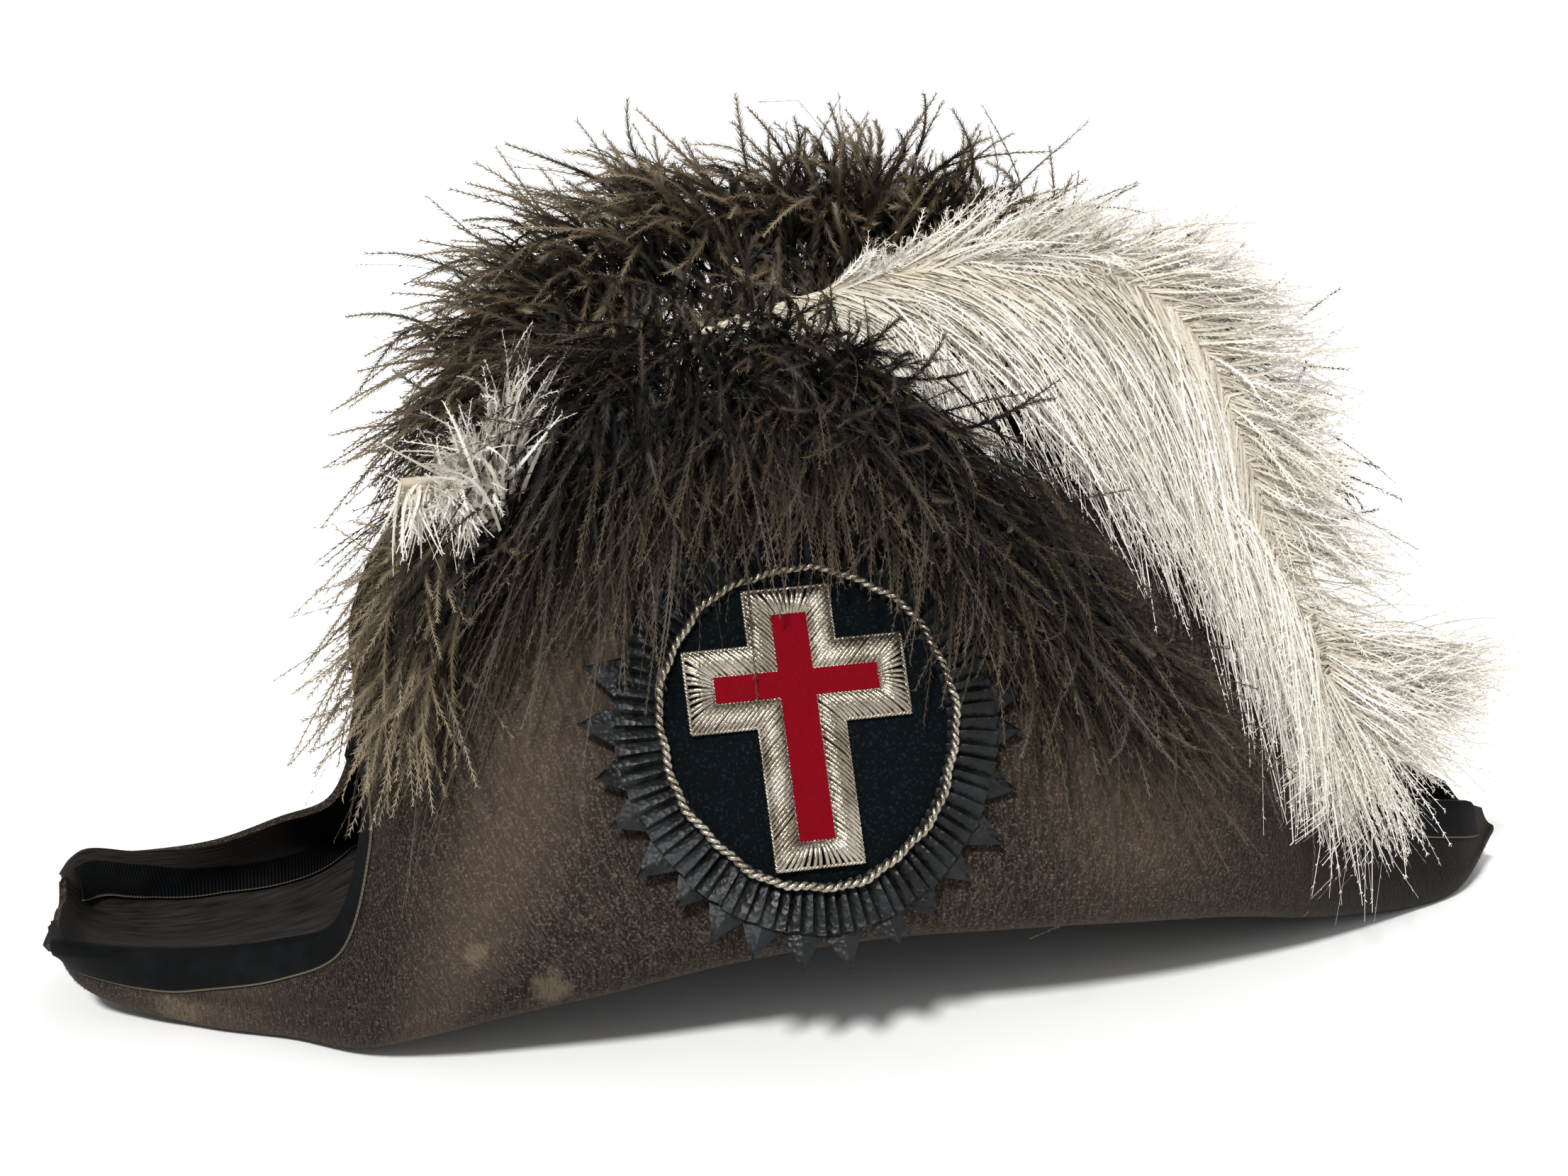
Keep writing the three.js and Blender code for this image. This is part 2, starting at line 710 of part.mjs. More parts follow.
// Plumes keep clear of the hat and of the plumes before them.
hat.updateMatrixWorld(true);
const bindingRooms = Object.keys(SIDES).map((side) => solidOf(bindingGeometry(side, GAP)));
const taken = [clearOfBrim, ...bindingRooms, rosetteRoom()];
for (const [name, plume] of Object.entries(PLUMES)) {
  const solid = largestBody(plumeSolid(plume, 0).subtract(wasm.Manifold.union(taken)));
  const colour = name === "plume_white" ? COLOURS.whiteBarb : COLOURS.blackBarb;
  add(hat, name, geometryOf(solid), colour, 0.9);
  taken.push(plumeSolid(plume, GAP));
}

// The origin is at the middle of the part's footprint, on the ground.
const part = new THREE.Group();
part.add(hat);
const box = new THREE.Box3().setFromObject(part, true);
hat.position.set(-(box.min.x + box.max.x) / 2, -(box.min.y + box.max.y) / 2, -box.min.z);

export default part;
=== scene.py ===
"""The looks of a plumed chapeau: napped felt, ribbon, pleated leather, a bullion badge and ostrich plumes."""
import logging
import math
from dataclasses import dataclass
from enum import Enum
from typing import Callable, Iterable, Mapping, Sequence

import bpy
import numpy as np
from mathutils import Matrix, Vector
from mathutils.bvhtree import BVHTree


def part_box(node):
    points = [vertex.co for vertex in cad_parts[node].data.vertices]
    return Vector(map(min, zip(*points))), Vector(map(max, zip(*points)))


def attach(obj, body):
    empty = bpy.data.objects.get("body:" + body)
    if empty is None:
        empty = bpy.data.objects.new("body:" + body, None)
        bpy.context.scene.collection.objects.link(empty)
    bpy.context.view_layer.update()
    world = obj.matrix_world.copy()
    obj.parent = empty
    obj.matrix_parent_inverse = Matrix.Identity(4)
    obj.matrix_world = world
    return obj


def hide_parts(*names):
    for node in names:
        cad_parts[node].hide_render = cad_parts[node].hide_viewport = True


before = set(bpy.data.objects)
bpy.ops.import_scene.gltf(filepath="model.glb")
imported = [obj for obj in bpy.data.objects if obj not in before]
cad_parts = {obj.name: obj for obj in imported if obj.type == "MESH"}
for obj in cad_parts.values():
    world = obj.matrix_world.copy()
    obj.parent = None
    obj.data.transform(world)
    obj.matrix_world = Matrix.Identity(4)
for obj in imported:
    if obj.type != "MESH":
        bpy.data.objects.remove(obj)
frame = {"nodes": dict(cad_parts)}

LOG = logging.getLogger("chapeau")
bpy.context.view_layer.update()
BODY = "root"
MM = 0.001
Array = np.ndarray
Piece = bpy.types.Object
Tree = bpy.types.NodeTree
Node = bpy.types.Node
Socket = bpy.types.NodeSocket
Pair = tuple[float, float]
Point = tuple[float, float, float]
Spot = tuple[float, float, float, float]

# The hat's own frame is in millimetres. Its zero is on the ground under the middle of the crown, +X is the
# back and -Y is the badge side.
CROWN_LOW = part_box("crown_near")[0]
CROWN_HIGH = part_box("crown_far")[1]
HAT_SHIFT = np.array([(CROWN_LOW[0] + CROWN_HIGH[0]) / 2, (CROWN_LOW[1] + CROWN_HIGH[1]) / 2, 0.0])

GAP = 0.4
FELT = 2.4
HEAD_LENGTH = 196.0
HEAD_WIDTH = 158.0
CROWN_TOP = 118.0

# The brim's cross-sections from the front tip to the back: where the sheet turns up, the top of the leaf, and
# how much higher the far leaf's edge stands.
SECTION_COLUMNS = "foldX foldY foldZ edgeX edgeY edgeZ farLift"
SECTION_ROWS = [
    [-210, 17, 20, -211, 27, 22, 1],
    [-203, 27, 9, -206, 33, 24, 4],
    [-188, 36, 3, -190, 38, 23, 2],
    [-168, 47, 0, -169, 43, 23, 1],
    [-148, 58, 0, -150, 50, 26, 1],
    [-130, 74, 2, -134, 54, 31, 0],
    [-112, 84, 8, -124, 50, 60, 0],
    [-92, 90, 14, -123, 45, 90, 0],
    [-68, 94, 19, -107, 42, 120, 0],
    [-36, 96, 25, -64, 41, 142, 0],
    [0, 96, 28, 0, 40, 150, 0],
    [40, 95, 27, 62, 40, 143, 0],
    [76, 88, 23, 104, 40, 122, 0],
    [104, 78, 18, 122, 40, 92, 0],
    [128, 66, 11, 130, 40, 62, 0],
    [150, 53, 5, 147, 37, 42, 0],
    [170, 40, 0, 168, 31, 32, 0],
    [190, 27, 0, 189, 23, 27, 0],
    [208, 8, 11, 202, 12, 22, 0],
]
# How far below the edge each band of ribbon starts, at the first sections.
BAND_DROPS = [4, 4, 4, 8, 15, 23, 46]

QUILL_COLUMNS = "x y z"
VANE_COLUMNS = "at x y z sag"


class Side(Enum):
    """The two leaves of the brim."""

    NEAR = -1
    FAR = 1


class Plumage(Enum):
    """The two colours of ostrich plume."""

    WHITE = "white_ostrich"
    BLACK = "black_ostrich"


def linear(code: str) -> tuple[float, float, float, float]:
    """Turns an sRGB hex colour into a linear one.

    Args:
        code: six hex digits.

    Returns:
        Linear red, green, blue and an alpha of one.
    """
    parts = [int(code[i : i + 2], 16) / 255 for i in (0, 2, 4)]
    low, high = 12.92, 1.055
    values = [c / low if c <= 0.04045 else ((c + 0.055) / high) ** 2.4 for c in parts]
    return (values[0], values[1], values[2], 1.0)


def columns_of(columns: str, rows: Sequence[Sequence[float]]) -> dict[str, Array]:
    """Turns rows of numbers into one array for each named column."""
    return dict(zip(columns.split(), np.array(rows, float).T))


def in_part(points: Array) -> Array:
    """Takes places in the hat's frame, in millimetres, to the part's frame, in metres."""
    return np.asarray(points, float) * MM + HAT_SHIFT


def unit(vectors: Array) -> Array:
    """Scales vectors to a length of one."""
    return vectors / np.maximum(np.linalg.norm(vectors, axis=-1, keepdims=True), 1e-9)


def lerp(a: Array | float, b: Array | float, share: Array | float) -> Array:
    """Mixes two values by a share."""
    return a + (b - a) * share


def run_of(places: Array) -> Array:
    """Gives the length of the way to each place in a row of them."""
    return np.concatenate([[0], np.cumsum(np.linalg.norm(np.diff(places, axis=0), axis=1))])


class Spline:
    """A centripetal curve through points."""

    SAMPLES = 400

    def __init__(self, points: Array) -> None:
        """Keeps the points, with one more guessed past each end.

        Args:
            points: the places that the curve runs through.
        """
        first = 2 * points[0] - points[1]
        last = 2 * points[-1] - points[-2]
        self.points = np.vstack([first, points, last])
        self.spans = len(points) - 1

    def at(self, share: Array) -> Array:
        """Gives places on the curve.

        Args:
            share: shares of the way through the list of points, from 0 to 1.

        Returns:
            One place for each share.
        """
        place = np.clip(np.atleast_1d(share), 0, 1) * self.spans
        span = np.minimum(place.astype(int), self.spans - 1)
        p0, p1, p2, p3 = (self.points[span + k] for k in range(4))
        pairs = ((p0, p1), (p1, p2), (p2, p3))
        d0, d1, d2 = (np.sqrt(np.linalg.norm(b - a, axis=1, keepdims=True)) for a, b in pairs)
        t1 = ((p1 - p0) / d0 - (p2 - p0) / (d0 + d1) + (p2 - p1) / d1) * d1
        t2 = ((p2 - p1) / d1 - (p3 - p1) / (d1 + d2) + (p3 - p2) / d2) * d1
        w = (place - span)[:, None]
        square = -3 * p1 + 3 * p2 - 2 * t1 - t2
        cube = 2 * p1 - 2 * p2 + t1 + t2
        return p1 + t1 * w + square * w**2 + cube * w**3

    def at_length(self, share: Array) -> Array:
        """Gives places at shares of the curve's length.

        Args:
            share: shares of the length, from 0 to 1.

        Returns:
            One place for each share.
        """
        steps = np.linspace(0, 1, self.SAMPLES)
        run = run_of(self.at(steps))
        return self.at(np.interp(np.clip(share, 0, 1) * run[-1], run, steps))


# Meshes

def activate(piece: Piece) -> None:
    """Makes one object the only selected one, and the active one.

    Args:
        piece: the object.
    """
    bpy.ops.object.select_all(action="DESELECT")
    piece.select_set(True)
    bpy.context.view_layer.objects.active = piece


def link(name: str, data: bpy.types.ID) -> Piece:
    """Puts a mesh, curve, lamp or camera in the scene as an object.

    Args:
        name: the new object's name.
        data: what the object shows.

    Returns:
        The new object.
    """
    piece = bpy.data.objects.new(name, data)
    bpy.context.scene.collection.objects.link(piece)
    return piece


def primitive(name: str, kind: str, **settings: object) -> Piece:
    """Adds a plain mesh to shape.

    Args:
        name: the new object's name.
        kind: which mesh, such as grid or cube.
        settings: its size and how finely it is divided.

    Returns:
        The new object, which is the only selected one.
    """
    bpy.ops.object.select_all(action="DESELECT")
    getattr(bpy.ops.mesh, f"primitive_{kind}_add")(**settings)
    piece = bpy.context.active_object
    piece.name = name
    return piece


def finish_with(piece: Piece, kind: str, **settings: object) -> None:
    """Adds a modifier to a piece and applies it.

    Args:
        piece: the object to change.
        kind: the modifier's type, such as SOLIDIFY.
        settings: the modifier's own values.
    """
    activate(piece)
    modifier = piece.modifiers.new(kind.title(), kind)
    for key, value in settings.items():
        setattr(modifier, key, value)
    bpy.ops.object.modifier_apply(modifier=modifier.name)


def merge_doubles(piece: Piece, distance: float = 1e-5) -> None:
    """Joins vertices that lie in one place, as along a closed ring's seam.

    Args:
        piece: the object.
        distance: how close the vertices have to be, in metres.
    """
    activate(piece)
    bpy.ops.object.mode_set(mode="EDIT")
    bpy.ops.mesh.select_all(action="SELECT")
    bpy.ops.mesh.remove_doubles(threshold=distance)
    bpy.ops.object.mode_set(mode="OBJECT")


def join(name: str, pieces: Sequence[Piece]) -> Piece:
    """Joins objects into one and names it.

    Args:
        name: the joined object's name.
        pieces: the objects, of which the first one stays.

    Returns:
        The joined object.
    """
    activate(pieces[0])
    for piece in pieces[1:]:
        piece.select_set(True)
    if len(pieces) > 1:
        bpy.ops.object.join()
    pieces[0].name = name
    return pieces[0]


def smooth(piece: Piece, angle: float = 40) -> None:
    """Shades a piece smooth, apart from edges sharper than an angle in degrees."""
    activate(piece)
    bpy.ops.object.shade_smooth_by_angle(angle=math.radians(angle))


def coordinates(piece: Piece) -> Array:
    """Gives a mesh's vertices as rows of x, y and z.

    Args:
        piece: the object.

    Returns:
        One row for each vertex, in metres.
    """
    flat = np.empty(3 * len(piece.data.vertices))
    piece.data.vertices.foreach_get("co", flat)
    return flat.reshape(-1, 3)


def put_coordinates(piece: Piece, places: Array) -> None:
    """Moves a mesh's vertices to the given places."""
    piece.data.vertices.foreach_set("co", np.ascontiguousarray(places, float).ravel())
    piece.data.update()


def grid_sheet(
    name: str, across: int, along: int, place: Callable[[Array, Array], Array], size: tuple[float, float]
) -> Piece:
    """Shapes a flat grid into a curved sheet.

    Args:
        name: the new object's name.
        across: faces across the sheet.
        along: faces along it.
        place: gives places in the hat's frame from shares across and along, and its faces look to the left of
            the way along, seen with the way across to the right.
        size: the sheet's size across and along in millimetres, which its UV map keeps, in metres.

    Returns:
        The sheet, with no thickness yet.
    """
    piece = primitive(name, "grid", x_subdivisions=across, y_subdivisions=along, size=1, calc_uvs=True)
    shares = coordinates(piece)[:, :2] + 0.5
    put_coordinates(piece, in_part(place(shares[:, 0], shares[:, 1])))
    corner = np.empty(len(piece.data.loops), int)
    piece.data.loops.foreach_get("vertex_index", corner)
    mapped = shares[corner] * np.array(size) * MM
    piece.data.uv_layers.active.data.foreach_set("uv", mapped.ravel())
    return piece


def strand(
    name: str,
    lines: Iterable[Array],
    radius: float,
    closed: bool = False,
    taper: Sequence[float] | None = None,
) -> Piece:
    """Makes round strands along lines.

    Args:
        name: the new object's name.
        lines: each strand's places in the hat's frame.
        radius: the strands' radius in millimetres.
        closed: whether each strand runs back into itself.
        taper: the radius at each place as a share, or None for an even strand.

    Returns:
        One mesh with every strand.
    """
    curve = bpy.data.curves.new(name, "CURVE")
    curve.dimensions = "3D"
    curve.bevel_depth = radius * MM
    curve.bevel_resolution = 1
    curve.use_fill_caps = True
    for line in lines:
        spline = curve.splines.new("POLY")
        spline.points.add(len(line) - 1)
        spline.points.foreach_set("co", np.column_stack([in_part(line), np.ones(len(line))]).ravel())
        if taper is not None:
            spline.points.foreach_set("radius", np.asarray(taper, float))
        spline.use_cyclic_u = closed
    activate(link(name, curve))
    bpy.ops.object.convert(target="MESH")
    bpy.ops.object.shade_smooth()
    return bpy.context.active_object


def twisted(line: Array, out: Array, strands: int, reach: float, pitch: float) -> list[Array]:
    """Winds strands around a closed line.

    Args:
        line: evenly spaced places on the line.
        out: the direction that every cross-section shares.
        strands: how many strands there are.
        reach: how far each strand's middle is from the line, in millimetres.
        pitch: the length of one turn in millimetres.

    Returns:
        The places of each strand.
    """
    steps = np.linalg.norm(np.roll(line, -1, axis=0) - line, axis=1)
    run = np.concatenate([[0], np.cumsum(steps)[:-1]])
    turns = max(1, round(steps.sum() / pitch))
    way = unit(np.roll(line, -1, axis=0) - np.roll(line, 1, axis=0))
    beside = unit(np.cross(way, out))
    wound = []
    for k in range(strands):
        turn = 2 * np.pi * (turns * run / steps.sum() + k / strands)
        wound.append(line + reach * (np.cos(turn)[:, None] * beside + np.sin(turn)[:, None] * out))
    return wound


def triangle_mesh(name: str, places: Array, triangles: Array, marks: Mapping[str, Array]) -> Piece:
    """Makes one mesh of many slivers, such as barbs or hairs.

    Args:
        name: the new object's name.
        places: the vertices in the hat's frame.
        triangles: rows of three vertex numbers.
        marks: values to keep at each vertex, by name.

    Returns:
        The new object.
    """
    mesh = bpy.data.meshes.new(name)
    mesh.vertices.add(len(places))
    mesh.vertices.foreach_set("co", in_part(places).ravel())
    mesh.loops.add(triangles.size)
    mesh.loops.foreach_set("vertex_index", triangles.ravel().astype(np.int32))
    mesh.polygons.add(len(triangles))
    mesh.polygons.foreach_set("loop_start", np.arange(0, triangles.size, 3, dtype=np.int32))
    mesh.update(calc_edges=True)
    for key, values in marks.items():
        mesh.attributes.new(key, "FLOAT", "POINT").data.foreach_set("value", values.astype(np.float32))
    piece = link(name, mesh)
    activate(piece)
    bpy.ops.object.shade_smooth()
    return piece


# Finishes

def add_node(tree: Tree, kind: str, inputs: Mapping[str | int, object], **settings: object) -> Node:
    """Adds a shader node.

    Args:
        tree: the material's nodes.
        kind: the node's type, without its prefix.
        inputs: for each input, a value, a hex colour, or a socket or node to link from. A node gives its
            first output that is in use.
        settings: the node's own values.

    Returns:
        The new node.
    """
    node = tree.nodes.new(f"ShaderNode{kind}")
    for key, value in settings.items():
        setattr(node, key, value)
    for key, value in inputs.items():
        if isinstance(value, Node):
            value = next(socket for socket in value.outputs if socket.enabled)
        if isinstance(value, Socket):
            tree.links.new(value, node.inputs[key])
        else:
            node.inputs[key].default_value = linear(value) if isinstance(value, str) else value
    return node


# Numbers of inputs whose names a node uses more than once.
SHARE, FIRST, SECOND = 0, 6, 7
START, END, LOW, HIGH = 1, 2, 3, 4
SOFT = "SMOOTHSTEP"


@dataclass(frozen=True)
class Finish:
    """A material with a name and a surface made of nodes."""

    name: str

    def material(self) -> bpy.types.Material:
        """Builds the material once, and finds it again afterwards.

        Returns:
            The material.
        """
        found = bpy.data.materials.get(self.name)
        if found:
            return found
        made = bpy.data.materials.new(self.name)
        made.use_nodes = True
        tree = made.node_tree
        tree.nodes.clear()
        add_node(tree, "OutputMaterial", {"Surface": self.surface(tree)})
        return made

    def surface(self, tree: Tree) -> Node:
        """Adds the nodes and gives the last shader."""
        raise NotImplementedError


@dataclass(frozen=True)
class FurFelt(Finish):
    """Fur felt brushed to a short nap: soft and dull, faded unevenly, rubbed bald in places, with sheen
    painted in a slanting band and a spot.
    """

    deep: str = "0d0a07"
    faded: str = "1d1610"
    unfaded: str = "050505"
    # One lighter colour paints the nap's streaks, the sheen and the worn spot.
    streak_sheen_and_wear: str = "56493d"
    speck_light: str = "75665a"
    worn: str = "655a4a"
    sheen: str = "a08a74"
    # Real hairs are too fine to show, so their streaks and specks are drawn coarser.
    hair_width: float = 0.7
    hair_length: float = 6.0
    speck: float = 0.7
    cloud: float = 40.0
    rag: float = 1 / 0.35
    # Each bald patch and each lighter spot has its middle in the hat's frame and its reach.
    # The first spot is painted sheen; the second, low on the front peak, is partly wear and partly painted
    # sheen.
    patches: tuple[Spot, ...] = (
        (-100.2, -87.5, 33.9, 3.4),
        (-81.7, -92.0, 24.3, 5.6),
        (-178.0, -43.0, 5.0, 8.0),
    )
    sheen_and_wear_spots: tuple[Spot, ...] = (
        (74.0, -84.0, 60.0, 46.0),
        (-170.0, -46.0, 6.0, 34.0),
    )
    spot_sheen_and_wear: float = 0.42
    # The band of painted sheen slants and widens up the leaf.
    band_slope: float = 0.47
    band_start: float = -119.0
    band_width: float = 10.0
    band_spread: float = 0.3
    painted_band_sheen: float = 0.4
    dark_from: float = 92.0
    dark_to: float = 158.0

    def surface(self, tree: Tree) -> Node:
        """Mixes nap streaks, painted sheen, fading, bald patches and the dark rear tip.

        Args:
            tree: the material's nodes.

        Returns:
            The last shader.
        """
        spot = add_node(tree, "TexCoord", {})
        shift = {0: spot.outputs["Object"], 1: tuple(-HAT_SHIFT)}
        moved = add_node(tree, "VectorMath", shift, operation="ADD")
        hat = add_node(tree, "VectorMath", {0: moved, "Scale": 1 / MM}, operation="SCALE")
        hair = (1 / (self.hair_length * MM), 1 / (self.hair_width * MM), 1)
        lines = add_node(tree, "Mapping", {"Vector": spot.outputs["UV"], "Scale": hair})
        nap = add_node(tree, "TexNoise", {"Vector": lines, "Scale": 1.0, "Detail": 3.0})
        streak = add_node(tree, "MapRange", {"Value": nap, START: 0.46, END: 0.8, HIGH: 0.5})
        cloud = add_node(tree, "TexNoise", {"Vector": hat, "Scale": 1 / self.cloud, "Detail": 4.0})
        fade = add_node(tree, "MapRange", {"Value": cloud, START: 0.35, END: 0.68})
        specks = add_node(tree, "TexNoise", {"Vector": hat, "Scale": 1 / self.speck, "Detail": 1.0})
        speck = add_node(tree, "MapRange", {"Value": specks, START: 0.52, END: 0.8, HIGH: 0.55})
        x, _, z = add_node(tree, "SeparateXYZ", {0: hat}).outputs
        tip = {"Value": x, START: self.dark_from, END: self.dark_to, HIGH: 0.95}
        rear = add_node(tree, "MapRange", tip, interpolation_type=SOFT)
        # The painted sheen of the band and the spots adds to the nap's streaks.
        light = add_node(tree, "Math", {0: self.painted_sheen_and_wear(tree, hat, x, z), 1: streak}, operation="ADD")
        layers = [(fade, self.faded), (light, self.streak_sheen_and_wear)]
        layers += [(speck, self.speck_light), (rear, self.unfaded)]
        layers += [(patch, self.worn) for patch in self.bald(tree, hat)]
        base = self.deep
        for share, colour in layers:
            base = add_node(tree, "Mix", {SHARE: share, FIRST: base, SECOND: colour}, data_type="RGBA")
        return add_node(
            tree,
            "BsdfPrincipled",
            {
                "Base Color": base,
                "Roughness": 0.8,
                "Specular IOR Level": 0.14,
                "Sheen Weight": 0.12,
                "Sheen Roughness": 0.45,
                "Sheen Tint": self.sheen,
                "Normal": add_node(tree, "Bump", {"Height": nap, "Strength": 0.5, "Distance": 0.6 * MM}),
            },
        )

    def painted_sheen_and_wear(self, tree: Tree, hat: Node, x: Socket, z: Socket) -> Node:
        """Finds where the nap is painted lighter: sheen in the band, and the spots.

        Args:
            tree: the material's nodes.
            hat: the place in the hat's frame.
            x: how far back the place is.
            z: how high it is.

        Returns:
            A share for the painted lightening, highest in the band and at the middles of the spots.
        """
        slant = {0: z, 1: self.band_slope, 2: self.band_start}
        spread = {0: z, 1: self.band_spread, 2: self.band_width}
        middle, width = (add_node(tree, "Math", line, operation="MULTIPLY_ADD") for line in (slant, spread))
        past = add_node(tree, "Math", {0: x, 1: middle}, operation="SUBTRACT")
        off = add_node(tree, "Math", {0: past}, operation="ABSOLUTE")
        light = add_node(tree, "Math", {0: off, 1: width}, operation="DIVIDE")
        across = {"Value": light, START: 1.0, END: 0.0, HIGH: self.painted_band_sheen}
        light = add_node(tree, "MapRange", across, interpolation_type=SOFT)
        for *place, reach in self.sheen_and_wear_spots:
            away = add_node(tree, "VectorMath", {0: hat, 1: place}, operation="DISTANCE")
            within = {"Value": away, START: reach, END: 0.0, HIGH: self.spot_sheen_and_wear}
            near = add_node(tree, "MapRange", within, interpolation_type=SOFT)
            light = add_node(tree, "Math", {0: light, 1: near}, operation="ADD")
        return light

    def bald(self, tree: Tree, hat: Node) -> list[Node]:
        """Finds how bald the felt is around each patch, with a torn edge.

        Args:
            tree: the material's nodes.
            hat: the place in the hat's frame.

        Returns:
            A share for each patch.
        """
        ragged = add_node(tree, "TexNoise", {"Vector": hat, "Scale": 1 / self.rag, "Detail": 3.0})
        shares = []
        for *place, reach in self.patches:
            away = add_node(tree, "VectorMath", {0: hat, 1: place}, operation="DISTANCE")
            edge = add_node(tree, "Math", {0: ragged, 1: 1.6 * reach, 2: away}, operation="MULTIPLY_ADD")
            torn = {"Value": edge, START: 1.9 * reach, END: 1.4 * reach, HIGH: 0.6}
            shares.append(add_node(tree, "MapRange", torn))
        return shares


@dataclass(frozen=True)
class InnerFelt(Finish):
    """The brim's inner face: unbrushed felt, greyer, with pressed lengthwise lines."""

    dark: str = "13100e"
    light: str = "342f2b"
    line_length: float = 16.0
    line_width: float = 1.6

    def surface(self, tree: Tree) -> Node:
        """Mixes two greys by lengthwise streaks.

        Args:
            tree: the material's nodes.

        Returns:
            The last shader.
        """
        spot = add_node(tree, "TexCoord", {})
        line = (1 / (self.line_width * MM), 1 / (self.line_length * MM), 1)
        lines = add_node(tree, "Mapping", {"Vector": spot.outputs["UV"], "Scale": line})
        noise = add_node(tree, "TexNoise", {"Vector": lines, "Scale": 1.0, "Detail": 4.0})
        share = add_node(tree, "MapRange", {"Value": noise, START: 0.35, END: 0.72})
        base = add_node(tree, "Mix", {SHARE: share, FIRST: self.dark, SECOND: self.light}, data_type="RGBA")
        bump = add_node(tree, "Bump", {"Height": noise, "Strength": 0.5, "Distance": 0.5 * MM})
        look = {"Base Color": base, "Roughness": 0.9, "Specular IOR Level": 0.2, "Normal": bump}
        return add_node(tree, "BsdfPrincipled", look)


@dataclass(frozen=True)
class NapHair(Finish):
    """Single rabbit hairs of the nap: fine and soft, and lighter than the felt they lie on as painted
    highlight.
    """

    root: str = "17110d"
    tip: str = "5a4b3e"

    def surface(self, tree: Tree) -> Node:
        """Lightens each hair towards its tip, as painted highlight.

        Args:
            tree: the material's nodes.

        Returns:
            The last shader.
        """
        tint = add_node(tree, "Attribute", {}, attribute_name="tint").outputs["Fac"]
        base = add_node(tree, "Mix", {SHARE: tint, FIRST: self.root, SECOND: self.tip}, data_type="RGBA")
        look = {"Base Color": base, "Roughness": 0.6, "Specular IOR Level": 0.3}
        return add_node(tree, "BsdfPrincipled", look)


@dataclass(frozen=True)
class GrosgrainRibbon(Finish):
    """Silk grosgrain: dull black with cross ribs, a pale line along the lower edge that is partly a paled
    edge and partly painted highlight, and rubbed spots.
    """

    black: str = "040506"
    rubbed: str = "0b0f11"
    # The pale line along the lower edge is partly a paled edge and partly painted highlight.
    paled_edge_and_highlight: str = "77705f"
    # Drawn a little coarser than real ribs, so that they show.
    rib: float = 1.3
    wear: float = 6.0
    width: float = 9.5
    edge: float = 0.5

    def surface(self, tree: Tree) -> Node:
        """Draws ribs across the ribbon and the pale line along its lower edge, which is partly painted
        highlight.

        Args:
            tree: the material's nodes.

        Returns:
            The last shader.
        """
        spot = add_node(tree, "TexCoord", {})
        down, along, _ = add_node(tree, "SeparateXYZ", {0: spot.outputs["UV"]}).outputs
        phase = add_node(tree, "Math", {0: along, 1: 2 * math.pi / (self.rib * MM)}, operation="MULTIPLY")
        ribs = add_node(tree, "Math", {0: phase}, operation="SINE")
        grain = {"Vector": spot.outputs["Object"], "Scale": 1 / (self.wear * MM), "Detail": 5.0}
        rub = add_node(tree, "MapRange", {"Value": add_node(tree, "TexNoise", grain), START: 0.45, END: 0.8})
        # Painted highlight, with some paling, along the ribbon's lower edge.
        paled_edge_and_highlight_share = {"Value": down, START: (self.width - self.edge) * MM, END: self.width * MM, HIGH: 0.8}
        base = self.black
        for share, colour in ((rub, self.rubbed), (add_node(tree, "MapRange", paled_edge_and_highlight_share), self.paled_edge_and_highlight)):
            base = add_node(tree, "Mix", {SHARE: share, FIRST: base, SECOND: colour}, data_type="RGBA")
        bump = add_node(tree, "Bump", {"Height": ribs, "Strength": 0.5, "Distance": 0.2 * MM})
        look = {"Base Color": base, "Roughness": 0.7, "Specular IOR Level": 0.1, "Normal": bump}
        return add_node(tree, "BsdfPrincipled", look)


@dataclass(frozen=True)
class GlazedLeather(Finish):
    """Thin glazed leather, pressed into folds: blue-black, with grey patches painted as glints."""

    dark: str = "060708"
    # The grey patches are painted glints.
    grey: str = "191e20"
    grain: float = 1.4
    glint_patch: float = 9.0

    def surface(self, tree: Tree) -> Node:
        """Mixes a dark glaze with patches of painted grey glint, over a fine grain.

        Args:
            tree: the material's nodes.

        Returns:
            The last shader.
        """
        place = add_node(tree, "TexCoord", {}).outputs["Object"]
        glint_patches = add_node(tree, "TexNoise", {"Vector": place, "Scale": 1 / (self.glint_patch * MM), "Detail": 6.0})
        share = add_node(tree, "MapRange", {"Value": glint_patches, START: 0.42, END: 0.78})
        base = add_node(tree, "Mix", {SHARE: share, FIRST: self.dark, SECOND: self.grey}, data_type="RGBA")
        grain = add_node(tree, "TexVoronoi", {"Vector": place, "Scale": 1 / (self.grain * MM)})
        bump = add_node(tree, "Bump", {"Height": grain, "Strength": 0.6, "Distance": 0.4 * MM})
        rough = add_node(tree, "MapRange", {"Value": glint_patches, START: 0.3, END: 0.7, LOW: 0.36, HIGH: 0.6})
        look = {"Base Color": base, "Roughness": rough, "Specular IOR Level": 0.3, "Normal": bump}
        return add_node(tree, "BsdfPrincipled", look)


